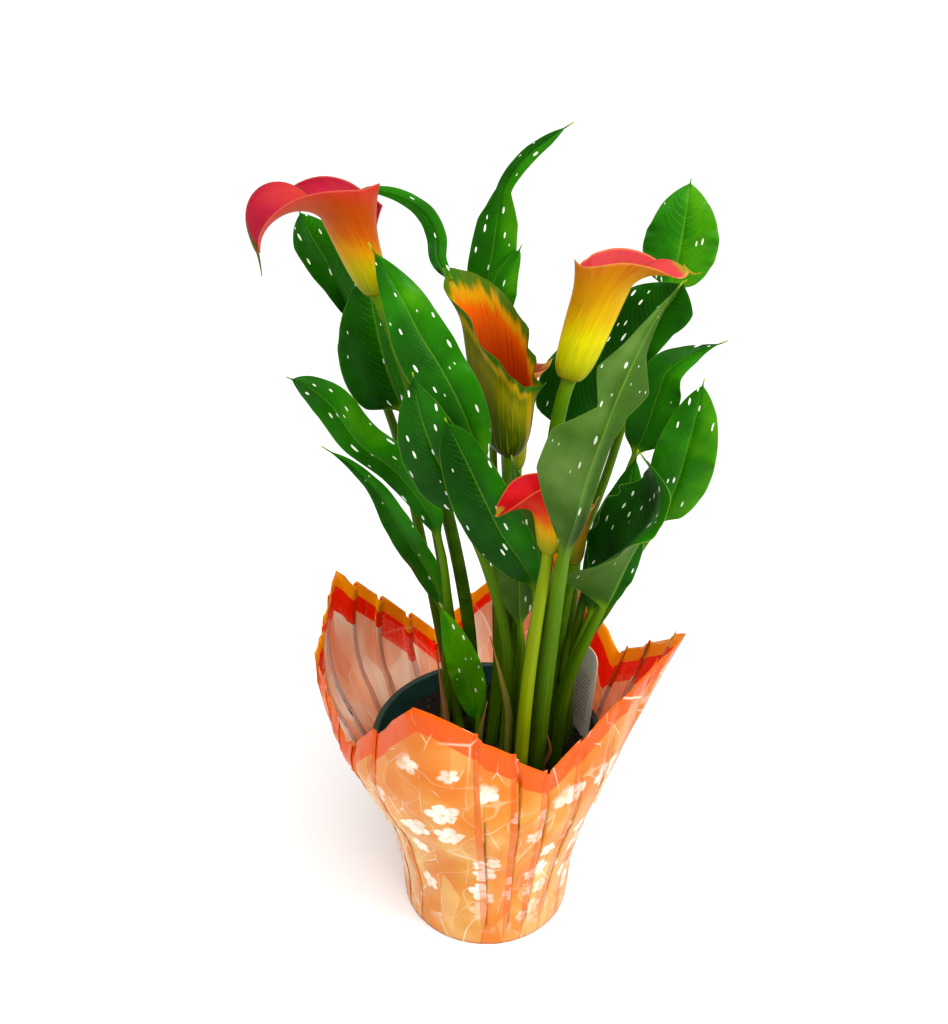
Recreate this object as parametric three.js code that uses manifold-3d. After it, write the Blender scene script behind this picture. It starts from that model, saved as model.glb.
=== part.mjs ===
// A potted calla lily: leaves and flowers on their stems, standing in a nursery
// pot of soil inside a pleated film pot cover, with a plain plant tag.
// Millimetres, +Z up, the origin at the middle of the cover's underside.
// The front of the plant looks along -Y.

import * as THREE from "three";
import { mergeVertices } from "three/addons/utils/BufferGeometryUtils.js";
import Module from "manifold-3d";

const wasm = await Module();
wasm.setup();

// Driving dimensions
const POT_HEIGHT = 143;
const POT_RIM_RADIUS = 80;
const POT_FOOT_RADIUS = 52;
const POT_WALL = 1.6;
const POT_LIP_HEIGHT = 15;
const POT_LIP_WALL = 3;
const COVER_FILM = 0.8;
const COVER_FOOT_RADIUS = 60;
const SOIL_TOP = 130;
const GAP = 0.4;
const BLADE_THICKNESS = 1;
const SPATHE_THICKNESS = 0.9;
const TAG_THICKNESS = 0.9;

const STEM_SIDES = 8;
const PETIOLE_ROWS_PER_SPAN = 2;
const BLADE_ROWS = 12;
const STRIPS_PER_SIDE = 2;

// Plain maths

const radians = (degrees) => degrees * Math.PI / 180;
const mix = (a, b, t) => a + (b - a) * t;
const clamp = (value, low, high) => Math.min(high, Math.max(low, value));

function smoothstep(low, high, value) {
  const t = clamp((value - low) / (high - low), 0, 1);
  return t * t * (3 - 2 * t);
}

// The value at t of a list of numbers or of vectors spread evenly over 0 to 1.
function evenly(list, t) {
  const place = clamp(t, 0, 1) * (list.length - 1);
  const index = Math.min(list.length - 2, Math.floor(place));
  const part = place - index;
  if (typeof list[0] === "number") return mix(list[index], list[index + 1], part);
  return list[index].map((value, axis) => mix(value, list[index + 1][axis], part));
}

const curveThrough = (points) => new THREE.CatmullRomCurve3(points.map((p) => new THREE.Vector3(...p)));

// Direction of a curve at u, from two points close to it.
function directionAt(curve, u) {
  const step = 0.002;
  const ahead = curve.getPoint(Math.min(1, u + step));
  return ahead.sub(curve.getPoint(Math.max(0, u - step))).normalize();
}

// Solids

function geometryFrom(positions, triangles) {
  const geometry = new THREE.BufferGeometry();
  geometry.setAttribute("position", new THREE.Float32BufferAttribute(positions, 3));
  geometry.setIndex(triangles);
  return geometry;
}

// Turns the faces round when they point inwards.
function facingOut(positions, triangles) {
  const corner = (index) => new THREE.Vector3().fromArray(positions, 3 * index);
  let volume = 0;
  for (let i = 0; i < triangles.length; i += 3) {
    const [a, b, c] = [corner(triangles[i]), corner(triangles[i + 1]), corner(triangles[i + 2])];
    volume += a.dot(b.cross(c));
  }
  if (volume > 0) return triangles;
  const turned = [];
  for (let i = 0; i < triangles.length; i += 3) {
    turned.push(triangles[i], triangles[i + 2], triangles[i + 1]);
  }
  return turned;
}

// Skins closed rings of points into one body. isBack tells the quads of a sheet's second
// face, which are split the other way, so that both faces have the same diagonals. Each
// end gets a flat fan, or a strip between its two faces where the rings are sheets.
function skinRings(rings, isBack = () => false, sheet = false) {
  const count = rings[0].length;
  const positions = rings.flat().flatMap((p) => p.toArray());
  const triangles = [];
  for (let row = 0; row + 1 < rings.length; row += 1) {
    for (let k = 0; k < count; k += 1) {
      const a = row * count + k;
      const b = row * count + (k + 1) % count;
      const [c, d] = [b + count, a + count];
      if (isBack(row, k)) triangles.push(a, b, d, b, c, d);
      else triangles.push(a, b, c, a, c, d);
    }
  }
  for (const row of [0, rings.length - 1]) {
    const start = row * count;
    const cap = sheet ? endStrip(start, count) : endFan(rings[row], start, positions);
    for (const [a, b, c] of cap) triangles.push(...(row ? [a, c, b] : [a, b, c]));
  }
  return geometryFrom(positions, facingOut(positions, triangles));
}

function endFan(ring, start, positions) {
  const middle = positions.length / 3;
  const centre = new THREE.Vector3();
  for (const p of ring) centre.addScaledVector(p, 1 / ring.length);
  positions.push(...centre.toArray());
  return ring.map((_, k) => [middle, start + (k + 1) % ring.length, start + k]);
}

function endStrip(start, count) {
  const faces = [];
  for (let k = 0; k + 1 < count / 2; k += 1) {
    const [a, b] = [start + k, start + k + 1];
    const [c, d] = [start + count - 2 - k, start + count - 1 - k];
    faces.push([a, c, b], [a, d, c]);
  }
  return faces;
}

function toManifold(geometry) {
  const bare = geometry.clone();
  bare.deleteAttribute("normal");
  bare.deleteAttribute("uv");
  const merged = mergeVertices(bare, 1e-4);
  return new wasm.Manifold(new wasm.Mesh({
    numProp: 3,
    vertProperties: new Float32Array(merged.attributes.position.array),
    triVerts: new Uint32Array(merged.index.array),
  }));
}

function fromManifold(solid) {
  const mesh = solid.getMesh();
  return geometryFrom(Array.from(mesh.vertProperties), Array.from(mesh.triVerts));
}

// A round tube along part of a curve, from u0 to u1; radiusAt gives its radius at u.
function tubeAlong(curve, u0, u1, steps, radiusAt, sides = STEM_SIDES) {
  const rings = [];
  for (let i = 0; i <= steps; i += 1) {
    const u = mix(u0, u1, i / steps);
    const centre = curve.getPoint(u);
    const tangent = directionAt(curve, u);
    const side = new THREE.Vector3(1, 0, 0).cross(tangent).normalize();
    const other = tangent.clone().cross(side);
    const ring = [];
    for (let k = 0; k < sides; k += 1) {
      const angle = 2 * Math.PI * k / sides;
      ring.push(centre.clone()
        .addScaledVector(side, Math.cos(angle) * radiusAt(u))
        .addScaledVector(other, Math.sin(angle) * radiusAt(u)));
    }
    rings.push(ring);
  }
  return skinRings(rings);
}

// Leaves. A path runs from the foot of the petiole in the soil to the tip of the
// blade, and its points are chosen by hand. "blade" is the number of the point where
// the blade starts. "face" is where the upper face looks, from blade base to tip.
// "bend" is the fold at the midrib and the further curl out to the margin, in
// degrees, towards the upper face, from base to tip; four numbers give the left half
// and then the right half. "wave" is the margin's height in mm, its number of waves
// and their phase. "left" and "right" scale each half's width from base to tip.

const LEAVES = [
  {
    name: "leaf_01", blade: 4, halfWidth: 19, widest: 0.45, petiole: [4, 2],
    path: [[-20, 44, 112], [-42, 52, 254], [-58, 52, 347], [-73, 50, 400], [-81, 50, 427],
      [-89, 50, 447], [-96, 50, 467], [-105, 53, 483], [-112, 58, 497]],
    face: [[-0.5, -0.4, 0.7], [0.3, -0.8, 0.6]], bend: [[35, 25], [10, -10]], wave: [2, 2, 0],
    left: [0.3, 0.4, 0.7, 1, 1], right: [0.7, 0.8, 0.9, 1, 1],
  },
  {
    name: "leaf_02", blade: 4, halfWidth: 27, widest: 0.32, petiole: [4, 2.2],
    path: [[-20, 34, 112], [-24, 34, 201], [-34, 32, 291], [-45, 32, 347], [-53, 30, 379],
      [-61, 26, 408], [-66, 24, 435], [-69, 26, 456], [-71, 30, 474]],
    face: [[0.1, -0.8, 0.6], [0.1, -0.8, 0.5]], bend: [[15, -30], [5, -20]], wave: [1.5, 2, 1],
  },
  {
    name: "leaf_03", blade: 3, halfWidth: 20, widest: 0.36, petiole: [4.5, 2.8],
    path: [[2, 10, 112], [8, 0, 217], [5, -12, 297], [-4, -24, 366], [-10, -30, 394],
      [-18, -34, 418], [-28, -34, 439], [-39, -32, 458], [-47, -30, 475], [-56, -28, 491],
      [-64, -30, 507]],
    face: [[0.2, -0.9, 0.4], [0.1, -0.8, 0.6]], bend: [[14, -30], [10, -16]], wave: [2, 3, 2],
    right: [0.7, 0.75, 0.75, 0.85, 1, 1],
  },
  {
    name: "leaf_04", blade: 3, halfWidth: 19, widest: 0.4, petiole: [4, 2.4],
    path: [[10, -28, 112], [12, -36, 245], [-1, -40, 308], [-15, -42, 348], [-24, -44, 372],
      [-33, -46, 396], [-39, -47, 419], [-42, -47, 441]],
    face: [[-0.2, -0.9, 0.5], [-0.1, -0.8, 0.6]], bend: [[15, -30], [8, -16]], wave: [1.5, 2, 0],
  },
  {
    name: "leaf_05", blade: 2, halfWidth: 18.5, widest: 0.5, petiole: [4, 2.8],
    path: [[22, -22, 112], [26, -36, 240], [28, -50, 300], [18, -58, 326], [7, -57, 344],
      [-3, -57, 367], [-11, -56, 386], [-19, -53, 403], [-25, -50, 415]],
    face: [[-0.2, -0.9, 0.4], [0.1, -0.85, 0.6]], bend: [[16, -26], [10, -14]], wave: [1.5, 2, 1],
    right: [1, 0.95, 0.8, 0.75, 0.9],
  },
  {
    name: "leaf_06", blade: 2, halfWidth: 15, widest: 0.4, petiole: [3.6, 2],
    path: [[12, -14, 112], [21, -24, 236], [20, -24, 255], [19, -24, 286], [19, -24, 315],
      [17, -22, 346], [13, -14, 372]],
    face: [[0, 0.9, -0.4], [0, 0.9, -0.3]], bend: [[16, 20], [8, 0]], wave: [1.5, 2, 0],
  },
  {
    name: "leaf_07", blade: 2, halfWidth: 15, widest: 0.45, petiole: [4, 2.4],
    path: [[-18, 14, 112], [-24, 5, 220], [-31, 2, 302], [-40, 4, 325], [-57, 0, 353],
      [-78, -4, 375], [-93, -4, 400], [-106, -2, 411], [-118, 0, 416]],
    face: [[-0.1, -0.7, 0.7], [0.2, -0.8, 0.6]], bend: [[14, -20], [10, -10]], wave: [1.5, 3, 0],
    left: [0.6, 0.6, 0.6, 0.9, 1],
  },
  {
    name: "leaf_08", blade: 2, halfWidth: 13, widest: 0.42, petiole: [4, 2.4],
    path: [[-31, 26, 112], [-28, 28, 184], [-30, 23, 230], [-37, 14, 264], [-48, 2, 296],
      [-59, -4, 322], [-69, -10, 346], [-82, -14, 365], [-98, -16, 379]],
    face: [[-0.5, -0.8, 0.2], [0.2, -0.6, 0.8]], bend: [[16, -20], [20, -10]], wave: [1.5, 2, 1],
    left: [1, 0.9, 0.6, 0.4, 0.5], right: [1, 1, 0.8, 0.6, 0.6],
  },
  {
    name: "leaf_09", blade: 1, halfWidth: 11.5, widest: 0.45, petiole: [3.4, 2.2],
    path: [[-6, 14, 112], [-6, 10, 146], [-10, 2, 177], [-16, -5, 208], [-23, -8, 235],
      [-31, -8, 261]],
    face: [[0.2, -0.9, 0.4], [0.2, -0.8, 0.5]], bend: [[20, -16], [10, -10]], wave: [0.8, 2, 0],
  },
  {
    name: "leaf_10", blade: 2, halfWidth: 27, widest: 0.3, petiole: [6, 4],
    path: [[30, -30, 112], [37, -52, 258], [41, -74, 339], [45, -90, 373], [49, -99, 404],
      [55, -103, 430], [61, -97, 447], [69, -86, 461], [77, -74, 473], [87, -60, 483],
      [99, -46, 492]],
    face: [[0.1, 0.9, -0.3], [-0.2, 0.9, -0.2]], bend: [[0, 10], [20, 10]], wave: [1.5, 3, 1],
    left: [0.25, 0.25, 0.25, 0.25, 0.4, 0.85, 0.5, 0.4, 0.4],
    right: [0.3, 0.6, 1, 0.95, 0.3, 0.75, 0.5, 0.4, 0.4],
  },
  {
    name: "leaf_11", blade: 3, halfWidth: 34, widest: 0.4, petiole: [4.5, 2.4],
    path: [[40, 18, 112], [56, 27, 222], [60, 34, 298], [65, 38, 347], [73, 40, 380],
      [85, 40, 407], [98, 40, 431], [109, 40, 448], [116, 40, 460]],
    face: [[-0.2, -0.9, 0.4], [-0.2, -0.9, 0.4]], bend: [[14, -20], [10, -14]], wave: [2, 2, 0],
    left: [2.2, 1.6, 1.2, 1, 1, 1, 1], right: [0.3, 0.3, 0.3, 0.35, 0.5, 0.9, 1],
  },
  {
    name: "leaf_12", blade: 4, halfWidth: 23, widest: 0.42, petiole: [4, 2],
    path: [[38, 34, 112], [49, 41, 228], [77, 54, 316], [96, 64, 390], [111, 70, 440],
      [115, 72, 459], [117, 74, 475], [119, 78, 493], [121, 84, 507]],
    face: [[0, -0.9, 0.4], [0, -0.9, 0.3]], bend: [[16, -26], [10, -10]], wave: [1.5, 2, 0],
  },
  {
    name: "leaf_13", blade: 3, halfWidth: 15, widest: 0.35, petiole: [3.6, 2],
    path: [[52, 2, 112], [61, 2, 252], [78, 14, 310], [90, 18, 354], [97, 20, 374],
      [102, 22, 394], [107, 24, 408], [123, 30, 417], [144, 38, 422]],
    face: [[0, -0.9, 0.4], [-0.2, -0.4, 0.9]], bend: [[16, -20], [24, 0]], wave: [2, 2, 0],
  },
  {
    name: "leaf_14", blade: 4, halfWidth: 19, widest: 0.45, petiole: [4, 2],
    path: [[58, 17, 112], [58, 9, 200], [82, 12, 249], [97, 10, 290], [107, 6, 313],
      [114, 2, 339], [118, 0, 364], [122, 0, 391], [125, 2, 414]],
    face: [[-0.2, -0.9, 0.4], [-0.2, -0.9, 0.3]], bend: [[14, -24], [8, -10]], wave: [1.5, 2, 0],
  },
  {
    name: "leaf_15", blade: 3, halfWidth: 30, widest: 0.42, petiole: [4.5, 2.8],
    path: [[46, -12, 112], [51, -20, 199], [64, -30, 256], [70, -33, 276], [75, -36, 292],
      [82, -40, 317], [90, -42, 338], [96, -42, 356], [94, -42, 373], [84, -42, 389]],
    face: [[-0.6, 0.2, 0.8], [-0.8, 0.3, 0.5]],
    bend: [[30, 50, 80, 20], [30, 20, -50, -60]], wave: [1, 2, 0],
    left: [1.2, 1.3, 1.2, 1, 1], right: [1.9, 1.4, 1, 0.9, 0.9],
  },
  {
    name: "leaf_16", blade: 2, halfWidth: 19, widest: 0.42, petiole: [4, 2.2],
    path: [[34, -4, 112], [54, -8, 207], [66, -3, 248], [71, -3, 269], [76, -4, 291],
      [80, -4, 317], [85, -2, 341], [90, 4, 366]],
    face: [[0.1, -0.9, 0.4], [0, -0.9, 0.4]], bend: [[14, -20], [8, -10]], wave: [1.5, 2, 0],
    left: [0.6, 0.8, 1, 1],
  },
  {
    name: "leaf_17", blade: 3, halfWidth: 16, widest: 0.36, petiole: [4, 2],
    path: [[10, 36, 112], [7, 42, 211], [4, 46, 320], [1, 46, 406], [-1, 46, 456],
      [2, 48, 475], [5, 50, 496], [9, 50, 514], [20, 50, 529], [33, 52, 539], [47, 56, 547]],
    face: [[0, -0.9, 0.4], [0.3, -0.9, 0]], bend: [[20, -20], [30, 0]], wave: [1, 2, 0],
    left: [1, 0.95, 0.9, 0.8, 0.35, 0.5, 0.7, 1], right: [1, 0.95, 0.9, 0.8, 0.35, 0.5, 0.7, 1],
  },
  {
    name: "leaf_18", blade: 3, halfWidth: 8, widest: 0.5, petiole: [3.2, 1.8],
    path: [[22, 36, 112], [16, 40, 229], [10, 43, 351], [6, 37, 429], [7, 37, 445],
      [10, 39, 461], [19, 44, 480]],
    face: [[0.2, -0.9, 0.4], [0.2, -0.9, 0.4]], bend: [[20, -10], [10, 0]], wave: [0.8, 2, 0],
  },
];

// Half width of a blade at t, 0 at its base and 1 at its tip, which ends in a thread.
const THREAD_FROM = 0.95;
const THREAD_HALF_WIDTH = 0.5;
const BLADE_POINTEDNESS = 1.45;

function halfWidthAt(leaf, t, side) {
  const s = clamp(t / THREAD_FROM, 0, 1);
  const rise = (s / leaf.widest) ** (BLADE_POINTEDNESS * leaf.widest);
  const fall = ((1 - s) / (1 - leaf.widest)) ** (BLADE_POINTEDNESS * (1 - leaf.widest));
  const scale = leaf[side] ? evenly(leaf[side], s) : 1;
  return Math.max(THREAD_HALF_WIDTH, leaf.halfWidth * scale * rise * fall);
}

// One ring round the leaf: from the left margin over the upper face to the right
// margin, and back under the blade. Below the blade it is the petiole's circle.
function leafRing(leaf, curve, u) {
  const bladeStart = leaf.blade / (leaf.path.length - 1);
  const t = (u - bladeStart) / (1 - bladeStart);
  const flat = smoothstep(-0.02, 0.1, t);
  const along = directionAt(curve, u);
  const up = new THREE.Vector3(...evenly(leaf.face, t));
  up.addScaledVector(along, -up.dot(along)).normalize();
  const across = along.clone().cross(up);
  const centre = curve.getPoint(u);
  const [foot, neck] = leaf.petiole;
  const stemRadius = t < 0 ? mix(foot, neck, u / bladeStart) : neck * (1 - 0.8 * t);
  const bend = evenly(leaf.bend, t);
  const [height, waves, phase] = leaf.wave;

  const pointAt = (column, face) => {
    const share = Math.abs(column) / STRIPS_PER_SIDE;
    const left = column < 0;
    const width = t > 0 ? halfWidthAt(leaf, t, left ? "left" : "right") : 0;
    const fold = radians(left || bend.length < 4 ? bend[0] : bend[2]);
    const curl = radians(left || bend.length < 4 ? bend[1] : bend[3]) || 1e-4;
    const angle = fold + curl * share;
    const out = width * (Math.sin(angle) - Math.sin(fold)) / curl;
    let lift = width * (Math.cos(fold) - Math.cos(angle)) / curl;
    const ends = Math.sin(Math.PI * clamp(t, 0, 1));
    const turn = phase + (left ? 0 : 1.3);
    lift += height * share * share * ends * Math.sin(2 * Math.PI * waves * t + turn);
    const half = face * BLADE_THICKNESS / 2 * Math.sqrt(1 - share ** 4);
    const rib = face < 0 ? stemRadius * Math.max(0, 1 - 2.2 * share) : 0;
    const blade = [
      (left ? -1 : 1) * (out - half * Math.sin(angle)),
      lift + half * Math.cos(angle) - rib,
    ];
    const round = [
      stemRadius * Math.sin(Math.PI / 2 * column / STRIPS_PER_SIDE),
      face * stemRadius * Math.cos(Math.PI / 2 * column / STRIPS_PER_SIDE),
    ];
    return centre.clone()
      .addScaledVector(across, mix(round[0], blade[0], flat))
      .addScaledVector(up, mix(round[1], blade[1], flat));
  };

  const ring = [];
  for (let column = -STRIPS_PER_SIDE; column <= STRIPS_PER_SIDE; column += 1) {
    ring.push(pointAt(column, 1));
  }
  for (let column = STRIPS_PER_SIDE - 1; column > -STRIPS_PER_SIDE; column -= 1) {
    ring.push(pointAt(column, -1));
  }
  return ring;
}

function leafGeometry(leaf) {
  const curve = curveThrough(leaf.path);
  const bladeStart = leaf.blade / (leaf.path.length - 1);
  const stemRows = leaf.blade * PETIOLE_ROWS_PER_SPAN;
  const rings = [];
  for (let row = 0; row < stemRows; row += 1) {
    rings.push(leafRing(leaf, curve, bladeStart * row / stemRows));
  }
  for (let row = 0; row <= BLADE_ROWS; row += 1) {
    const t = row / BLADE_ROWS;
    rings.push(leafRing(leaf, curve, mix(bladeStart, 1, t)));
  }
  return skinRings(rings, (row, k) => k >= 2 * STRIPS_PER_SIDE);
}

// Flowers. A scape's path runs from its foot in the soil to the base of the spathe,
// one sheet rolled round the end of the scape. "length" is the sheet's length at its
// sides and "foot" its radius at the base. "tip" is where the tip points, "slant" the
// share by which the tip's side is longer and "beak" the tip's extra length. "outer"
// is 1 or -1 for the side of the outer margin, and "ear" the extra length and width of
// that margin's corner. "belly" is the slope at the base and how soon it fades, "open"
// the tube's slope, "flare" the roll of the rim at the back and at the tip, in degrees,
// and "roll" where it starts. "lean" bends the axis and "wrap" is how far the sheet
// goes round to each side at the base and at the rim. "wave" moves the rim in and out
// and "ripple" up and down: size, number of waves and phase. "pinch" narrows the tip
// to a point. A leafy tail grows on from the tip of the third flower.

const FLOWERS = [
  {
    number: 1, length: 72, foot: 5.8, tip: [-0.77, -0.09, -0.63], slant: 0.35, beak: 31,
    ear: [15, 0.27], outer: 1, belly: [29, 0.05], open: 6, flare: [31, 177], roll: 0.37,
    lean: [0.06, 0.14, 0], wrap: [205, 162], wave: [1.8, 3, 3], ripple: [3.7, 1, 0],
    pinch: 0.69, spadix: 42, stem: [4.6, 3.6],
    path: [[-8, 26, 112], [-13, 24, 224], [-28, 20, 321], [-46, 12, 402], [-58, 8, 447],
      [-64, 6, 466]],
  },
  {
    number: 2, length: 75, foot: 6.8, tip: [0.97, -0.08, -0.28], slant: 0.18, beak: 13,
    ear: [4.7, 0.15], outer: -1, belly: [36, 0.07], open: 4, flare: [18, 105], roll: 0.6,
    lean: [0.1, 0.14, 0], wrap: [205, 172], wave: [1, 3, 3], ripple: [0, 3, 0],
    pinch: 0.65, spadix: 42, stem: [4.8, 4],
    path: [[34, 9, 112], [36, 10, 219], [37, 2, 302], [38, -4, 370], [42, -6, 403],
      [46, -6, 419]],
  },
  {
    number: 3, length: 85, foot: 5.4, tip: [-1, 0.45, 0], slant: 0.43, beak: 1,
    ear: [3, 0.15], outer: 1, belly: [48, 0.17], open: 1.4, flare: [19, 20], roll: 0.64,
    lean: [-0.07, 0.07, 0], wrap: [200, 195], wave: [2.6, 4, 0.5], ripple: [1.3, 5, -0.3],
    pinch: 0.46, spadix: 30, stem: [4.6, 3.8],
    path: [[10, 22, 112], [10, 20, 210], [12, 14, 279], [12, 8, 342], [12, 6, 363]],
    tail: {
      blade: 0, halfWidth: 6, widest: 0.4, petiole: [2, 2], face: [[0, -0.9, 0.4], [0, -0.6, 0.8]],
      path: [[-22, 13, 470], [-29, 16, 481], [-30, 21, 492], [-36, 21, 505], [-50, 18, 516],
        [-66, 14, 521], [-76, 12, 520]],
      bend: [[20, -20], [30, 0]], wave: [0, 2, 0],
    },
  },
  {
    number: 4, length: 46, foot: 4.4, tip: [-0.95, -0.2, 0], slant: 0.1, beak: 3, ear: [0, 0.15],
    outer: 1, belly: [40, 0.08], open: 2, flare: [10, 120], roll: 0.4, lean: [-0.4, 0.2, 0],
    wrap: [205, 170], wave: [1, 3, 0], ripple: [0, 3, 0], pinch: 0.5, spadix: 22,
    stem: [4.4, 3.2], rows: 6, columns: 12,
    path: [[20, -40, 112], [24, -54, 227], [28, -62, 287], [32, -66, 326], [33, -67, 340]],
  },
  {
    number: 5, length: 66, foot: 3.6, tip: [1, 0.2, 0], slant: 0.05, beak: 8, ear: [0, 0.15],
    outer: 1, belly: [30, 0.07], open: 0, flare: [10, 50], roll: 0.6, lean: [0.1, 0, 0],
    wrap: [205, 190], wave: [0.5, 3, 0], ripple: [0, 3, 0], pinch: 0.5, spadix: 30,
    stem: [4, 2.8], rows: 6, columns: 12,
    path: [[24, 14, 112], [19, 20, 210], [19, 27, 287], [18, 31, 338]],
  },
  {
    number: 6, length: 44, foot: 4, tip: [0.7, -0.3, 0], slant: 0.05, beak: 8, ear: [0, 0.15],
    outer: 1, belly: [30, 0.07], open: -4, flare: [0, 10], roll: 0.5, lean: [0.1, 0, 0],
    wrap: [215, 200], wave: [0, 3, 0], ripple: [0, 3, 0], pinch: 0.5, spadix: 24,
    stem: [4, 3], rows: 6, columns: 12,
    path: [[44, 8, 112], [46, 5, 205], [50, -6, 262], [53, -11, 295]],
  },
];

const SPATHE_ROWS = 8;
const SPATHE_COLUMNS = 16;
const CUP_RISE = 0.12;
const PROFILE_STEPS = 60;
const SPIRAL_PER_TURN = 1.9;

// Slope of the sheet away from the axis at s, 0 at the base and 1 at the rim.
function spatheSlope(flower, s, towardsTip) {
  const flare = mix(flower.flare[0], flower.flare[1], towardsTip);
  const [belly, reach] = flower.belly;
  return radians(belly * Math.exp(-s / reach) + flower.open + flare * smoothstep(flower.roll, 1, s));
}

// A point of the sheet's middle surface: turn runs round the axis from -1 to 1, 0 at
// the tip, and rise runs from the base to the rim. The spiral keeps the overlapping
// margins apart.
function spathePoint(flower, frame, turn, rise) {
  const [wrapLow, wrapHigh] = flower.wrap;
  const angle = turn * radians(mix(wrapLow, wrapHigh, smoothstep(0.2, 1, rise)));
  const towardsTip = ((1 + Math.cos(angle)) / 2) ** 4;
  const [ripple, ripples, ripplePhase] = flower.ripple;
  const [ear, earWidth] = flower.ear;
  const length = flower.length * (1 + flower.slant * Math.cos(angle))
    + ripple * Math.sin(ripples * angle + ripplePhase)
    + flower.beak * Math.exp(-((angle / 0.4) ** 2))
    + ear * Math.exp(-(((1 - turn * flower.outer) / earWidth) ** 2));
  let radius = flower.foot;
  let height = 0;
  const steps = Math.round(PROFILE_STEPS * rise);
  for (let step = 0; step < steps; step += 1) {
    const slope = spatheSlope(flower, (step + 0.5) / PROFILE_STEPS, towardsTip);
    radius += Math.sin(slope) * length / PROFILE_STEPS;
    height += Math.cos(slope) * length / PROFILE_STEPS;
  }
  const [size, count, phase] = flower.wave;
  radius += size * Math.sin(count * angle + phase) * rise ** 3;
  radius += SPIRAL_PER_TURN * flower.outer * angle / (2 * Math.PI);
  const bent = height / flower.length;
  const axis = frame.axis.clone().addScaledVector(frame.lean, bent).normalize();
  const front = frame.tip.clone().addScaledVector(axis, -frame.tip.dot(axis)).normalize();
  const side = axis.clone().cross(front);
  const spread = angle * (1 - flower.pinch * smoothstep(0.5, 1, rise) * Math.exp(-(angle ** 2)));
  return frame.base.clone()
    .addScaledVector(frame.axis, height)
    .addScaledVector(frame.lean, height * bent / 2)
    .addScaledVector(front, Math.cos(spread) * radius)
    .addScaledVector(side, Math.sin(spread) * radius);
}

// Where a flower stands: just clear of its scape's end, along the scape's last span.
function flowerFrame(flower) {
  const points = flower.path.map((p) => new THREE.Vector3(...p));
  const axis = points.at(-1).clone().sub(points.at(-2)).normalize();
  return {
    base: points.at(-1).clone().addScaledVector(axis, 1.5 * GAP),
    axis,
    tip: new THREE.Vector3(...flower.tip).normalize(),
    lean: new THREE.Vector3(...flower.lean),
  };
}

// The rolled sheet, row by row, each row a ring of its outer and inner face.
function spatheSheet(flower, frame) {
  const normalAt = (turn, rise) => {
    const around = spathePoint(flower, frame, turn + 0.02, rise)
      .sub(spathePoint(flower, frame, turn - 0.02, rise));
    const upward = spathePoint(flower, frame, turn, Math.min(1, rise + 0.04))
      .sub(spathePoint(flower, frame, turn, Math.max(0, rise - 0.04)));
    return around.cross(upward).normalize();
  };
  const { rows = SPATHE_ROWS, columns = SPATHE_COLUMNS } = flower;
  const rings = [];
  for (let row = 0; row <= rows; row += 1) {
    const rise = row / rows;
    const outer = [];
    const inner = [];
    for (let column = 0; column <= columns; column += 1) {
      const turn = 2 * column / columns - 1;
      const point = spathePoint(flower, frame, turn, rise);
      const offset = normalAt(turn, rise).multiplyScalar(SPATHE_THICKNESS / 2);
      outer.push(point.clone().add(offset));
      inner.unshift(point.clone().sub(offset));
    }
    rings.push([...outer, ...inner]);
  }
  return skinRings(rings, (row, k) => k > columns, true);
}

// The solid bottom of the spathe, which its spadix stands on. Its side lies inside the
// sheet's thickness.
function spatheCup(flower, frame) {
  const whole = Math.PI / radians(flower.wrap[0]);
  const { columns = SPATHE_COLUMNS } = flower;
  const turns = Array.from({ length: columns }, (_, k) => mix(-whole, whole, k / columns));
  const ringAt = (rise) => turns.map((turn) => spathePoint(flower, frame, turn, rise));
  return skinRings([ringAt(0), ringAt(CUP_RISE)]);
}

function spatheGeometry(flower) {
  const frame = flowerFrame(flower);
  let spathe = toManifold(spatheSheet(flower, frame)).add(toManifold(spatheCup(flower, frame)));
  if (flower.tail) spathe = spathe.add(toManifold(leafGeometry(flower.tail)));
  return fromManifold(spathe);
}

function spadixGeometry(flower) {
  const frame = flowerFrame(flower);
  const foot = spathePoint(flower, frame, 0, CUP_RISE).sub(frame.base).dot(frame.axis) + 1;
  const heights = [foot + GAP, foot + 6, foot + flower.spadix * 0.6, foot + flower.spadix - 2,
    foot + flower.spadix];
  const radii = [0.37, 0.48, 0.42, 0.32, 0.13].map((share) => share * flower.foot);
  const path = heights.map((height) => frame.base.clone()
    .addScaledVector(frame.axis, height)
    .addScaledVector(frame.lean, height * height / flower.length / 2).toArray());
  const curve = curveThrough(path);
  return tubeAlong(curve, 0, 1, 5, (u) => evenly(radii, u), 6);
}

// Pot

function potGeometry() {
  const wallAt = (z) => mix(POT_FOOT_RADIUS, POT_RIM_RADIUS - POT_LIP_WALL, z / POT_HEIGHT);
  const lipZ = POT_HEIGHT - POT_LIP_HEIGHT;
  const profile = [
    [0, 0], [wallAt(0), 0], [wallAt(lipZ), lipZ], [POT_RIM_RADIUS - 1, lipZ],
    [POT_RIM_RADIUS, POT_HEIGHT - 1], [POT_RIM_RADIUS - 1, POT_HEIGHT],
    [wallAt(POT_HEIGHT) - POT_WALL + 1, POT_HEIGHT], [wallAt(POT_HEIGHT) - POT_WALL, POT_HEIGHT - 1],
    [wallAt(2) - POT_WALL, 2], [0, 2],
  ].map(([r, z]) => new THREE.Vector2(r, z));
  const lathe = new THREE.LatheGeometry(profile, 36).rotateX(Math.PI / 2);
  let pot = toManifold(lathe);
  for (let hole = 0; hole < 6; hole += 1) {
    const cutter = new THREE.CylinderGeometry(6, 6, 12, 10).rotateX(Math.PI / 2);
    cutter.translate(38, 0, 0).rotateZ(hole * Math.PI / 3);
    pot = pot.subtract(toManifold(cutter));
  }
  return fromManifold(pot);
}

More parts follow.
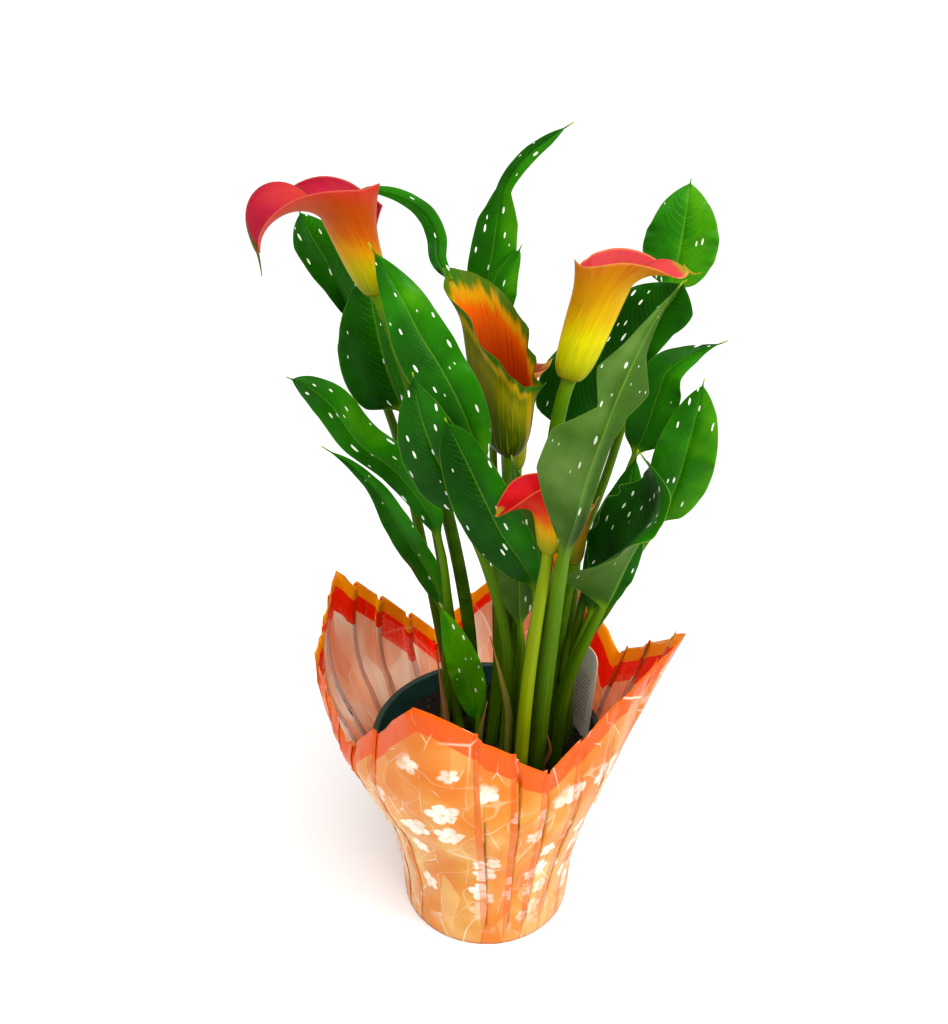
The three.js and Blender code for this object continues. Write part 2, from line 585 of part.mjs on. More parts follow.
// Pot cover: a square film sheet drawn up round the pot in pleats, so that its four
// corners stand high and the middles of its edges low. Each key gives an azimuth, the
// film's radius level with the pot's rim, how far it bellies out above that, the
// radius and height of its edge, and the number of columns on to the next key.

const COVER_KEYS = [
  { azimuth: -114, waist: 89, belly: 2, edge: 104, top: 250, columns: 8 },
  { azimuth: -66, waist: 83, belly: 0, edge: 87, top: 181, columns: 9 },
  { azimuth: -9, waist: 90, belly: 0, edge: 128, top: 246, columns: 6 },
  { azimuth: 28, waist: 90, belly: 0, edge: 106, top: 176, columns: 6 },
  { azimuth: 66, waist: 94, belly: 2, edge: 110, top: 248, columns: 8 },
  { azimuth: 111, waist: 95, belly: 0, edge: 107, top: 160, columns: 8 },
  { azimuth: 156, waist: 98, belly: 9, edge: 112, top: 250, columns: 5 },
  { azimuth: 180, waist: 98, belly: 4, edge: 114, top: 212, columns: 5 },
  { azimuth: 201, waist: 94, belly: 3, edge: 98, top: 166, columns: 8 },
];
const COVER_ROWS = [0, 0.15, 0.3, 0.45, 0.6, 0.75, 0.84, 0.92, 1];
const PLEAT_COLUMNS = 3;
const PLEAT_DEPTH = 3;
const COVER_RINGS = [[0, COVER_FOOT_RADIUS], [44, 63], [92, 73]];
const WAIST_HEIGHT = 140;

// How far the film stands out at a place round the cover, counted in pleats: each
// pleat rises slowly and falls back sharply.
function pleatAt(place) {
  const part = place - Math.floor(place);
  return part < 0.67 ? part / 0.67 : (1 - part) / 0.33;
}

// A point of the film. place is the key number plus the share of the way to the next
// key; rise runs from the base to the edge.
function coverPoint(place, rise, pleat) {
  const index = Math.floor(place) % COVER_KEYS.length;
  const key = COVER_KEYS[index];
  const next = COVER_KEYS[(index + 1) % COVER_KEYS.length];
  const part = place - Math.floor(place);
  const turn = (next.azimuth - key.azimuth + 360) % 360;
  const corner = ({ azimuth, edge, top }) => new THREE.Vector3(
    edge * Math.cos(radians(azimuth)), edge * Math.sin(radians(azimuth)), top,
  );
  const edgePoint = corner(key).lerp(corner(next), part);
  const edge = Math.hypot(edgePoint.x, edgePoint.y);
  const waist = mix(key.waist, next.waist, part);
  const belly = mix(key.belly, next.belly, part);
  const rings = [...COVER_RINGS, [WAIST_HEIGHT, waist], [edgePoint.z, edge]];
  const point = curveThrough(rings.map(([z, r]) => [r, 0, z])).getPoint(rise);
  const bulge = rise > 0.75 ? belly * Math.sin(Math.PI * (rise - 0.75) / 0.25) : 0;
  const depth = PLEAT_DEPTH * smoothstep(0, 0.4, rise);
  const radius = point.x + bulge + depth * (pleatAt(pleat) - 0.5);
  const azimuth = radians(key.azimuth + turn * part);
  const drift = Math.atan2(edgePoint.y, edgePoint.x) - azimuth;
  const angle = azimuth + Math.atan2(Math.sin(drift), Math.cos(drift)) * rise;
  return new THREE.Vector3(radius * Math.cos(angle), radius * Math.sin(angle), point.z);
}

function coverGeometry() {
  const places = [];
  COVER_KEYS.forEach((key, index) => {
    for (let column = 0; column < key.columns; column += 1) places.push(index + column / key.columns);
  });
  const count = places.length;
  const outside = COVER_ROWS.map((rise) => places
    .map((place, column) => coverPoint(place, rise, column / PLEAT_COLUMNS)));
  const inside = outside.map((ring, row) => ring.map((point, column) => {
    const around = ring[(column + 1) % count].clone().sub(ring[(column + count - 1) % count]);
    const above = outside[Math.min(outside.length - 1, row + 1)][column];
    const upward = above.clone().sub(outside[Math.max(0, row - 1)][column]);
    const normal = around.cross(upward).normalize();
    const inner = point.clone().addScaledVector(normal, -COVER_FILM);
    if (row === 0) inner.z = COVER_FILM;
    return inner;
  }));
  return skinRings([...outside, ...inside.reverse()], (row) => row >= outside.length);
}

// Soil: level but lumpy, filling the pot, with a plain hole for each stem.

const SOIL_RINGS = [0.25, 0.5, 0.75, 1];
const SOIL_SIDES = 32;
const HOLE_SPANS = 0.7;
const HOLE_SIDES = 10;

function soilGeometry(stems, slot) {
  const wallAt = (z) => mix(POT_FOOT_RADIUS, POT_RIM_RADIUS - POT_LIP_WALL, z / POT_HEIGHT)
    - POT_WALL - 2 * GAP;
  const lump = (x, y) => 1.6 * Math.sin(x * 0.16 + 1) * Math.cos(y * 0.19) + Math.sin(x * 0.07 - y * 0.11);
  const bottom = 3 + POT_WALL;
  const ring = (radius, height) => Array.from({ length: SOIL_SIDES }, (_, k) => {
    const angle = 2 * Math.PI * k / SOIL_SIDES;
    const [x, y] = [radius * Math.cos(angle), radius * Math.sin(angle)];
    return new THREE.Vector3(x, y, height ?? SOIL_TOP + lump(x, y));
  });
  const rings = [ring(wallAt(bottom), bottom)];
  rings.push(...SOIL_RINGS.toReversed().map((share) => ring(share * wallAt(SOIL_TOP - 3))));
  let soil = toManifold(skinRings(rings));
  for (const { path, radius } of stems) {
    const reach = HOLE_SPANS / (path.length - 1);
    const wide = (radius + 1.3 * GAP) / Math.cos(Math.PI / HOLE_SIDES);
    const hole = tubeAlong(curveThrough(path), 0, reach, 2, () => wide, HOLE_SIDES);
    soil = soil.subtract(toManifold(hole.translate(0, 0, -GAP)));
  }
  return fromManifold(soil.subtract(toManifold(slot)));
}

// Plant tag: a bare card on a pointed stake, pushed into the soil at the right.

const TAG = {
  width: 46, top: 205, corner: 8, taper: 131, point: [29, 104], right: [70.5, 6], azimuth: 117,
  lean: 4,
};

function tagGeometry(thickness, margin = 0) {
  const { width, top, corner, taper, point } = TAG;
  const shape = new THREE.Shape();
  shape.moveTo(-margin, taper);
  shape.lineTo(-margin, top - corner);
  shape.absarc(corner, top - corner, corner + margin, Math.PI, Math.PI / 2, true);
  shape.lineTo(width - corner, top + margin);
  shape.absarc(width - corner, top - corner, corner + margin, Math.PI / 2, 0, true);
  shape.lineTo(width + margin, taper);
  shape.lineTo(point[0], point[1] - margin);
  const card = new THREE.ExtrudeGeometry(shape, {
    depth: thickness, bevelEnabled: false, curveSegments: 4,
  });
  card.translate(0, -taper, -thickness / 2).rotateX(Math.PI / 2 + radians(TAG.lean));
  card.rotateZ(radians(TAG.azimuth));
  return card.translate(...TAG.right, taper);
}

// Scene graph

function coloured(name, geometry, colour, roughness = 0.5) {
  const material = new THREE.MeshStandardMaterial({ color: colour, roughness, metalness: 0 });
  const mesh = new THREE.Mesh(geometry, material);
  mesh.name = name;
  return mesh;
}

const plant = new THREE.Group();
plant.add(coloured("pot_cover", coverGeometry(), "#f08a3c", 0.3));

const planted = new THREE.Group();
planted.position.z = COVER_FILM + GAP;
planted.add(coloured("pot", potGeometry(), "#1f3d33", 0.5));
plant.add(planted);

const stems = [
  ...LEAVES.map(({ path, petiole }) => ({ path, radius: petiole[0] })),
  ...FLOWERS.map(({ path, stem }) => ({ path, radius: stem[0] })),
];
const slot = tagGeometry(TAG_THICKNESS + 3 * GAP, 1.5 * GAP);
plant.add(coloured("soil", soilGeometry(stems, slot), "#1c1712", 1));
plant.add(coloured("plant_tag", tagGeometry(TAG_THICKNESS), "#cfc6b4", 0.5));

for (const leaf of LEAVES) plant.add(coloured(leaf.name, leafGeometry(leaf), "#2f6b1c", 0.4));

for (const flower of FLOWERS) {
  const curve = curveThrough(flower.path);
  const [foot, neck] = flower.stem;
  const stem = tubeAlong(curve, 0, 1, 2 * flower.path.length, (u) => mix(foot, neck, u));
  plant.add(coloured(`scape_${flower.number}`, stem, "#6f9a26"));
  plant.add(coloured(`spathe_${flower.number}`, spatheGeometry(flower), "#e08a1e", 0.45));
  plant.add(coloured(`spadix_${flower.number}`, spadixGeometry(flower), "#e6b420", 0.8));
}

export default plant;
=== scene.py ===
"""Looks of a potted calla lily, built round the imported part: leaves and flowers on
their stems in a nursery pot of soil, inside a pleated and printed film pot cover.
Lengths are in millimetres, +Z up, and become metres where a mesh is made."""

import math
import random

import bpy
import numpy as np
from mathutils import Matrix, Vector


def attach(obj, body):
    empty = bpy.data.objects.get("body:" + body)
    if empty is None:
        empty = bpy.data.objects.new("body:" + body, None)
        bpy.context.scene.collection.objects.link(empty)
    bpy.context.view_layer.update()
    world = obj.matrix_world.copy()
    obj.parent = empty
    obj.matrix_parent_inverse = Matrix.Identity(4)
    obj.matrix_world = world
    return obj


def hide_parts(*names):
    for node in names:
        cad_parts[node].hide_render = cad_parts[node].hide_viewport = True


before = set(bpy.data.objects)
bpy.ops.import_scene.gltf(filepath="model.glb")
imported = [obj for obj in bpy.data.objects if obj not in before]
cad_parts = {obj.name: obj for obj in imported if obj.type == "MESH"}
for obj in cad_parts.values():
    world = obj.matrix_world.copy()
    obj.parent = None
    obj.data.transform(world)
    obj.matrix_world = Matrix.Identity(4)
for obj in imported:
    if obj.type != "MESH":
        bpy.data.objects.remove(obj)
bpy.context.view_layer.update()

# Driving dimensions, as in the part's source
POT_HEIGHT = 143
POT_RIM_RADIUS = 80
POT_FOOT_RADIUS = 52
POT_WALL = 1.6
POT_LIP_HEIGHT = 15
POT_LIP_WALL = 3
POT_LIFT = 1.2
COVER_FOOT_RADIUS = 60
SOIL_TOP = 130
STEM_GAP = 0.6

# Finer than the solids
FILM_THICKNESS = 0.16
BLADE_THICKNESS = 0.7
SPATHE_THICKNESS = 0.7
CARD_THICKNESS = 0.7


# Plain maths

def mix(a, b, t):
    return a + (b - a) * t


def smoothstep(low, high, value):
    t = np.clip((value - low) / (high - low), 0, 1)
    return t * t * (3 - 2 * t)


def evenly(values, t):
    """The value at t of a list spread evenly over 0 to 1."""
    values = np.asarray(values, float)
    place = min(1.0, max(0.0, t)) * (len(values) - 1)
    index = min(len(values) - 2, int(place))
    return mix(values[index], values[index + 1], place - index)


def unit(v):
    return v / np.linalg.norm(v, axis=-1, keepdims=True)


def sin_cos(degrees):
    angle = math.radians(degrees)
    return math.sin(angle), math.cos(angle)


def circle(sides):
    """Angles round a full turn."""
    return 2 * math.pi * np.arange(sides) / sides


def level_ring(radius, z, sides):
    angles = circle(sides)
    return np.stack([radius * np.cos(angles), radius * np.sin(angles), np.full(sides, float(z))], 1)


class Curve:
    """A centripetal curve through points, the same as the one in the part's source."""

    def __init__(self, points):
        self.points = np.asarray(points, float)

    def at(self, u):
        points = self.points
        place = min(1.0, max(0.0, u)) * (len(points) - 1)
        index = min(len(points) - 2, int(place))
        x = place - index
        before = points[index - 1] if index else 2 * points[0] - points[1]
        a, b = points[index], points[index + 1]
        last = index + 2 == len(points)
        after = 2 * points[-1] - points[-2] if last else points[index + 2]
        dt0, dt1, dt2 = (math.sqrt(np.linalg.norm(d)) for d in (a - before, b - a, after - b))
        dt1 = dt1 if dt1 > 1e-4 else 1.0
        dt0 = dt0 if dt0 > 1e-4 else dt1
        dt2 = dt2 if dt2 > 1e-4 else dt1
        ta = ((a - before) / dt0 - (b - before) / (dt0 + dt1) + (b - a) / dt1) * dt1
        tb = ((b - a) / dt1 - (after - a) / (dt1 + dt2) + (after - b) / dt2) * dt1
        return a + ta * x + (3 * (b - a) - 2 * ta - tb) * x ** 2 + (2 * (a - b) + ta + tb) * x ** 3

    def along(self, u):
        step = 0.002
        return unit(self.at(u + step) - self.at(u - step))


# Meshes: a body is its points, its faces and one number per point for each attribute

def skin(rows, count, sheet):
    """Faces over closed rings of count points. Each end is one face, or a strip for a sheet."""
    faces = []
    for start in range(0, (rows - 1) * count, count):
        for k in range(count):
            a, b = start + k, start + (k + 1) % count
            faces.append((a, b, b + count, a + count))
    for start, order in ((0, 1), ((rows - 1) * count, -1)):
        ends = [tuple(start + k for k in reversed(range(count)))]
        if sheet:
            ends = [(start + k, start + count - 1 - k, start + count - 2 - k, start + k + 1)
                    for k in range(count // 2 - 1)]
        faces += [face[::order] for face in ends]
    return faces


def facing_out(points, faces):
    """The faces, turned round when they point inwards."""
    middle = points.mean(axis=0)
    volume = 0.0
    for face in faces:
        a = points[face[0]] - middle
        for k in range(1, len(face) - 1):
            volume += a @ np.cross(points[face[k]] - middle, points[face[k + 1]] - middle)
    return faces if volume > 0 else [face[::-1] for face in faces]


def spread(shape, attributes):
    """Attributes per point, each given as one number, one per ring, one per column or all."""
    return {key: np.broadcast_to(value, shape).ravel() for key, value in attributes.items()}


def body(rings, sheet=False, **attributes):
    """A closed body over rings of points."""
    rings = np.array(rings, float)
    shape = rings.shape[:2]
    points = rings.reshape(-1, 3)
    return points, facing_out(points, skin(*shape, sheet)), spread(shape, attributes)


def joined(*bodies):
    """Several bodies as one; attributes that a body lacks are 0 there."""
    points, faces, columns = [], [], {key: [] for _, _, attributes in bodies for key in attributes}
    start = 0
    for body_points, body_faces, attributes in bodies:
        points.append(body_points)
        faces += [tuple(start + k for k in face) for face in body_faces]
        start += len(body_points)
        for key, column in columns.items():
            column.append(np.broadcast_to(attributes.get(key, 0.0), len(body_points)))
    return np.concatenate(points), faces, {key: np.concatenate(column) for key, column in columns.items()}


def tube(curve, rows, sides, radius_at, **attributes):
    """A closed tube along a curve; radius_at gives its radius at u for the angles round it."""
    angles = circle(sides)
    us = [row / rows for row in range(rows + 1)]
    rings = []
    for u in us:
        along = curve.along(u)
        side = unit(np.cross([1.0, 0, 0], along))
        radius = radius_at(u, angles)
        rings.append(curve.at(u) + (radius * np.cos(angles))[:, None] * side
                     + (radius * np.sin(angles))[:, None] * np.cross(along, side))
    return body(rings, along=np.array(us)[:, None], **attributes)


def add_object(name, data):
    made = bpy.data.objects.new(name, data)
    bpy.context.scene.collection.objects.link(made)
    return made


def make_piece(name, points, faces, attributes, material, slot, replaces=()):
    """A smooth mesh that rides on the root body."""
    mesh = bpy.data.meshes.new(name)
    mesh.from_pydata((points / 1000).tolist(), [], faces)
    for key, values in attributes.items():
        layer = mesh.attributes.new(key, "FLOAT", "POINT")
        layer.data.foreach_set("value", np.asarray(values, np.float32))
    mesh.polygons.foreach_set("use_smooth", [True] * len(mesh.polygons))
    mesh.materials.append(material)
    mesh.update()
    piece = add_object(name, mesh)
    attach(piece, "root")
    if replaces:
        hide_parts(*replaces)
    return piece


# Tables of the part's source

# A leaf: blade is the point of its path where the blade starts, petiole the stem's radii at
# foot and neck, face which way the upper side looks, bend its fold and curl in degrees, once
# or left and right, wave a height, a count and a phase. Left and right are shares of the half
# width along each side.
LEAVES = [
    dict(
        blade=4, half_width=19, widest=0.45, petiole=[4, 2],
        path=[[-20, 44, 112], [-42, 52, 254], [-58, 52, 347], [-73, 50, 400], [-81, 50, 427],
              [-89, 50, 447], [-96, 50, 467], [-105, 53, 483], [-112, 58, 497]],
        face=[[-0.5, -0.4, 0.7], [0.3, -0.8, 0.6]], bend=[[35, 25], [10, -10]], wave=[2, 2, 0],
        left=[0.3, 0.4, 0.7, 1, 1], right=[0.7, 0.8, 0.9, 1, 1],
    ),
    dict(
        blade=4, half_width=27, widest=0.32, petiole=[4, 2.2],
        path=[[-20, 34, 112], [-24, 34, 201], [-34, 32, 291], [-45, 32, 347], [-53, 30, 379],
              [-61, 26, 408], [-66, 24, 435], [-69, 26, 456], [-71, 30, 474]],
        face=[[0.1, -0.8, 0.6], [0.1, -0.8, 0.5]], bend=[[15, -30], [5, -20]], wave=[1.5, 2, 1],
    ),
    dict(
        blade=3, half_width=20, widest=0.36, petiole=[4.5, 2.8],
        path=[[2, 10, 112], [8, 0, 217], [5, -12, 297], [-4, -24, 366], [-10, -30, 394],
              [-18, -34, 418], [-28, -34, 439], [-39, -32, 458], [-47, -30, 475], [-56, -28, 491],
              [-64, -30, 507]],
        face=[[0.2, -0.9, 0.4], [0.1, -0.8, 0.6]], bend=[[14, -30], [10, -16]], wave=[2, 3, 2],
        right=[0.7, 0.75, 0.75, 0.85, 1, 1],
    ),
    dict(
        blade=3, half_width=19, widest=0.4, petiole=[4, 2.4],
        path=[[10, -28, 112], [12, -36, 245], [-1, -40, 308], [-15, -42, 348], [-24, -44, 372],
              [-33, -46, 396], [-39, -47, 419], [-42, -47, 441]],
        face=[[-0.2, -0.9, 0.5], [-0.1, -0.8, 0.6]], bend=[[15, -30], [8, -16]], wave=[1.5, 2, 0],
    ),
    dict(
        blade=2, half_width=18.5, widest=0.5, petiole=[4, 2.8],
        path=[[22, -22, 112], [26, -36, 240], [28, -50, 300], [18, -58, 326], [7, -57, 344],
              [-3, -57, 367], [-11, -56, 386], [-19, -53, 403], [-25, -50, 415]],
        face=[[-0.2, -0.9, 0.4], [0.1, -0.85, 0.6]], bend=[[16, -26], [10, -14]], wave=[1.5, 2, 1],
        right=[1, 0.95, 0.8, 0.75, 0.9],
    ),
    dict(
        blade=2, half_width=15, widest=0.4, petiole=[3.6, 2],
        path=[[12, -14, 112], [21, -24, 236], [20, -24, 255], [19, -24, 286], [19, -24, 315],
              [17, -22, 346], [13, -14, 372]],
        face=[[0, 0.9, -0.4], [0, 0.9, -0.3]], bend=[[16, 20], [8, 0]], wave=[1.5, 2, 0],
    ),
    dict(
        blade=2, half_width=15, widest=0.45, petiole=[4, 2.4],
        path=[[-18, 14, 112], [-24, 5, 220], [-31, 2, 302], [-40, 4, 325], [-57, 0, 353],
              [-78, -4, 375], [-93, -4, 400], [-106, -2, 411], [-118, 0, 416]],
        face=[[-0.1, -0.7, 0.7], [0.2, -0.8, 0.6]], bend=[[14, -20], [10, -10]], wave=[1.5, 3, 0],
        left=[0.6, 0.6, 0.6, 0.9, 1],
    ),
    dict(
        blade=2, half_width=13, widest=0.42, petiole=[4, 2.4],
        path=[[-31, 26, 112], [-28, 28, 184], [-30, 23, 230], [-37, 14, 264], [-48, 2, 296],
              [-59, -4, 322], [-69, -10, 346], [-82, -14, 365], [-98, -16, 379]],
        face=[[-0.5, -0.8, 0.2], [0.2, -0.6, 0.8]], bend=[[16, -20], [20, -10]], wave=[1.5, 2, 1],
        left=[1, 0.9, 0.6, 0.4, 0.5], right=[1, 1, 0.8, 0.6, 0.6],
    ),
    dict(
        blade=1, half_width=11.5, widest=0.45, petiole=[3.4, 2.2],
        path=[[-6, 14, 112], [-6, 10, 146], [-10, 2, 177], [-16, -5, 208], [-23, -8, 235],
              [-31, -8, 261]],
        face=[[0.2, -0.9, 0.4], [0.2, -0.8, 0.5]], bend=[[20, -16], [10, -10]], wave=[0.8, 2, 0],
    ),
    dict(
        blade=2, half_width=27, widest=0.3, petiole=[6, 4],
        path=[[30, -30, 112], [37, -52, 258], [41, -74, 339], [45, -90, 373], [49, -99, 404],
              [55, -103, 430], [61, -97, 447], [69, -86, 461], [77, -74, 473], [87, -60, 483],
              [99, -46, 492]],
        face=[[0.1, 0.9, -0.3], [-0.2, 0.9, -0.2]], bend=[[0, 10], [20, 10]], wave=[1.5, 3, 1],
        left=[0.25, 0.25, 0.25, 0.25, 0.4, 0.85, 0.5, 0.4, 0.4],
        right=[0.3, 0.6, 1, 0.95, 0.3, 0.75, 0.5, 0.4, 0.4],
    ),
    dict(
        blade=3, half_width=34, widest=0.4, petiole=[4.5, 2.4],
        path=[[40, 18, 112], [56, 27, 222], [60, 34, 298], [65, 38, 347], [73, 40, 380],
              [85, 40, 407], [98, 40, 431], [109, 40, 448], [116, 40, 460]],
        face=[[-0.2, -0.9, 0.4], [-0.2, -0.9, 0.4]], bend=[[14, -20], [10, -14]], wave=[2, 2, 0],
        left=[2.2, 1.6, 1.2, 1, 1, 1, 1], right=[0.3, 0.3, 0.3, 0.35, 0.5, 0.9, 1],
    ),
    dict(
        blade=4, half_width=23, widest=0.42, petiole=[4, 2],
        path=[[38, 34, 112], [49, 41, 228], [77, 54, 316], [96, 64, 390], [111, 70, 440],
              [115, 72, 459], [117, 74, 475], [119, 78, 493], [121, 84, 507]],
        face=[[0, -0.9, 0.4], [0, -0.9, 0.3]], bend=[[16, -26], [10, -10]], wave=[1.5, 2, 0],
    ),
    dict(
        blade=3, half_width=15, widest=0.35, petiole=[3.6, 2],
        path=[[52, 2, 112], [61, 2, 252], [78, 14, 310], [90, 18, 354], [97, 20, 374],
              [102, 22, 394], [107, 24, 408], [123, 30, 417], [144, 38, 422]],
        face=[[0, -0.9, 0.4], [-0.2, -0.4, 0.9]], bend=[[16, -20], [24, 0]], wave=[2, 2, 0],
    ),
    dict(
        blade=4, half_width=19, widest=0.45, petiole=[4, 2],
        path=[[58, 17, 112], [58, 9, 200], [82, 12, 249], [97, 10, 290], [107, 6, 313],
              [114, 2, 339], [118, 0, 364], [122, 0, 391], [125, 2, 414]],
        face=[[-0.2, -0.9, 0.4], [-0.2, -0.9, 0.3]], bend=[[14, -24], [8, -10]], wave=[1.5, 2, 0],
    ),
    dict(
        blade=3, half_width=30, widest=0.42, petiole=[4.5, 2.8],
        path=[[46, -12, 112], [51, -20, 199], [64, -30, 256], [70, -33, 276], [75, -36, 292],
              [82, -40, 317], [90, -42, 338], [96, -42, 356], [94, -42, 373], [84, -42, 389]],
        face=[[-0.6, 0.2, 0.8], [-0.8, 0.3, 0.5]],
        bend=[[30, 50, 80, 20], [30, 20, -50, -60]], wave=[1, 2, 0],
        left=[1.2, 1.3, 1.2, 1, 1], right=[1.9, 1.4, 1, 0.9, 0.9],
    ),
    dict(
        blade=2, half_width=19, widest=0.42, petiole=[4, 2.2],
        path=[[34, -4, 112], [54, -8, 207], [66, -3, 248], [71, -3, 269], [76, -4, 291],
              [80, -4, 317], [85, -2, 341], [90, 4, 366]],
        face=[[0.1, -0.9, 0.4], [0, -0.9, 0.4]], bend=[[14, -20], [8, -10]], wave=[1.5, 2, 0],
        left=[0.6, 0.8, 1, 1],
    ),
    dict(
        blade=3, half_width=16, widest=0.36, petiole=[4, 2],
        path=[[10, 36, 112], [7, 42, 211], [4, 46, 320], [1, 46, 406], [-1, 46, 456],
              [2, 48, 475], [5, 50, 496], [9, 50, 514], [20, 50, 529], [33, 52, 539], [47, 56, 547]],
        face=[[0, -0.9, 0.4], [0.3, -0.9, 0]], bend=[[20, -20], [30, 0]], wave=[1, 2, 0],
        left=[1, 0.95, 0.9, 0.8, 0.35, 0.5, 0.7, 1], right=[1, 0.95, 0.9, 0.8, 0.35, 0.5, 0.7, 1],
    ),
    dict(
        blade=3, half_width=8, widest=0.5, petiole=[3.2, 1.8],
        path=[[22, 36, 112], [16, 40, 229], [10, 43, 351], [6, 37, 429], [7, 37, 445],
              [10, 39, 461], [19, 44, 480]],
        face=[[0.2, -0.9, 0.4], [0.2, -0.9, 0.4]], bend=[[20, -10], [10, 0]], wave=[0.8, 2, 0],
    ),
]

# How light each leaf is against the others, -1 to 1
LEAF_TONES = [0.1, 0.0, 0.15, -0.2, -0.25, 0.2, 0.2, 0.0, 0.9,
              0.1, -0.4, 0.4, -0.1, 0.45, -0.1, -0.4, 0.1, 0.1]

# A flower: foot is the radius of the spathe's tube, tip which way its tip points. Slant and
# beak lengthen the tip's side and ear a lobe beside the seam. Belly, open, flare and roll set
# how its profile opens in degrees, and wrap how far the sheet goes round. Wave and ripple
# move its rim out and up.
FLOWERS = [
    dict(
        number=1, length=72, foot=5.8, tip=[-0.77, -0.09, -0.63], slant=0.35, beak=31,
        ear=[15, 0.27], outer=1, belly=[29, 0.05], open=6, flare=[31, 177], roll=0.37,
        lean=[0.06, 0.14, 0], wrap=[205, 162], wave=[1.8, 3, 3], ripple=[3.7, 1, 0],
        pinch=0.69, spadix=42, stem=[4.6, 3.6],
        path=[[-8, 26, 112], [-13, 24, 224], [-28, 20, 321], [-46, 12, 402], [-58, 8, 447],
              [-64, 6, 466]],
    ),
    dict(
        number=2, length=75, foot=6.8, tip=[0.97, -0.08, -0.28], slant=0.18, beak=13,
        ear=[4.7, 0.15], outer=-1, belly=[36, 0.07], open=4, flare=[18, 105], roll=0.6,
        lean=[0.1, 0.14, 0], wrap=[205, 172], wave=[1, 3, 3], ripple=[0, 3, 0],
        pinch=0.65, spadix=42, stem=[4.8, 4],
        path=[[34, 9, 112], [36, 10, 219], [37, 2, 302], [38, -4, 370], [42, -6, 403],
              [46, -6, 419]],
    ),
    dict(
        number=3, length=85, foot=5.4, tip=[-1, 0.45, 0], slant=0.43, beak=1,
        ear=[3, 0.15], outer=1, belly=[48, 0.17], open=1.4, flare=[19, 20], roll=0.64,
        lean=[-0.07, 0.07, 0], wrap=[200, 195], wave=[2.6, 4, 0.5], ripple=[1.3, 5, -0.3],
        pinch=0.46, spadix=30, stem=[4.6, 3.8],
        path=[[10, 22, 112], [10, 20, 210], [12, 14, 279], [12, 8, 342], [12, 6, 363]],
        tail=dict(
            blade=0, half_width=6, widest=0.4, petiole=[2, 2], face=[[0, -0.9, 0.4], [0, -0.6, 0.8]],
            path=[[-22, 13, 470], [-29, 16, 481], [-30, 21, 492], [-36, 21, 505], [-50, 18, 516],
                  [-66, 14, 521], [-76, 12, 520]],
            bend=[[20, -20], [30, 0]], wave=[0, 2, 0],
        ),
    ),
    dict(
        number=4, length=46, foot=4.4, tip=[-0.95, -0.2, 0], slant=0.1, beak=3, ear=[0, 0.15],
        outer=1, belly=[40, 0.08], open=2, flare=[10, 120], roll=0.4, lean=[-0.4, 0.2, 0],
        wrap=[205, 170], wave=[1, 3, 0], ripple=[0, 3, 0], pinch=0.5, spadix=22,
        stem=[4.4, 3.2],
        path=[[20, -40, 112], [24, -54, 227], [28, -62, 287], [32, -66, 326], [33, -67, 340]],
    ),
    dict(
        number=5, length=66, foot=3.6, tip=[1, 0.2, 0], slant=0.05, beak=8, ear=[0, 0.15],
        outer=1, belly=[30, 0.07], open=0, flare=[10, 50], roll=0.6, lean=[0.1, 0, 0],
        wrap=[205, 190], wave=[0.5, 3, 0], ripple=[0, 3, 0], pinch=0.5, spadix=30,
        stem=[4, 2.8],
        path=[[24, 14, 112], [19, 20, 210], [19, 27, 287], [18, 31, 338]],
    ),
    dict(
        number=6, length=44, foot=4, tip=[0.7, -0.3, 0], slant=0.05, beak=8, ear=[0, 0.15],
        outer=1, belly=[30, 0.07], open=-4, flare=[0, 10], roll=0.5, lean=[0.1, 0, 0],
        wrap=[215, 200], wave=[0, 3, 0], ripple=[0, 3, 0], pinch=0.5, spadix=24,
        stem=[4, 3],
        path=[[44, 8, 112], [46, 5, 205], [50, -6, 262], [53, -11, 295]],
    ),
]

# The film cover: its corners and the dips between them, with the height and radius of its edge
COVER_KEYS = [
    dict(azimuth=-114, waist=89, belly=2, edge=104, top=250),
    dict(azimuth=-66, waist=83, belly=0, edge=87, top=181),
    dict(azimuth=-9, waist=90, belly=0, edge=128, top=246),
    dict(azimuth=28, waist=90, belly=0, edge=106, top=176),
    dict(azimuth=66, waist=94, belly=2, edge=110, top=248),
    dict(azimuth=111, waist=95, belly=0, edge=107, top=160),
    dict(azimuth=156, waist=98, belly=9, edge=112, top=250),
    dict(azimuth=180, waist=98, belly=4, edge=114, top=212),
    dict(azimuth=201, waist=94, belly=3, edge=98, top=166),
]

# Leaves: the same rings as the solids, with more rows and with columns close to the margin

BLADE_SHARES = [0, 0.05, 0.13, 0.26, 0.4, 0.55, 0.7, 0.83, 0.92, 0.97, 1]
BLADE_ROWS = 72
PETIOLE_ROWS_PER_SPAN = 5
LENGTH_STEPS = 40
THREAD_FROM = 0.95
THREAD_HALF_WIDTH = 0.4
BLADE_POINTEDNESS = 1.45
VEIN_SPACING = 4.5
VEIN_SWEEP = 0.6
FRILL_SHARE = 0.055
FRILL_COUNTS = (5.3, 9.1)

# Each ring runs from the left margin to the right over the upper face and back under it
OVER = [-s for s in reversed(BLADE_SHARES)] + BLADE_SHARES[1:]
SHARE = np.array(OVER + OVER[-2:0:-1])
SIZE = np.abs(SHARE)
FACE = np.array([1] * len(OVER) + [-1] * (len(OVER) - 2))
IS_LEFT = SHARE < 0
SIDE = np.where(IS_LEFT, -1, 1)


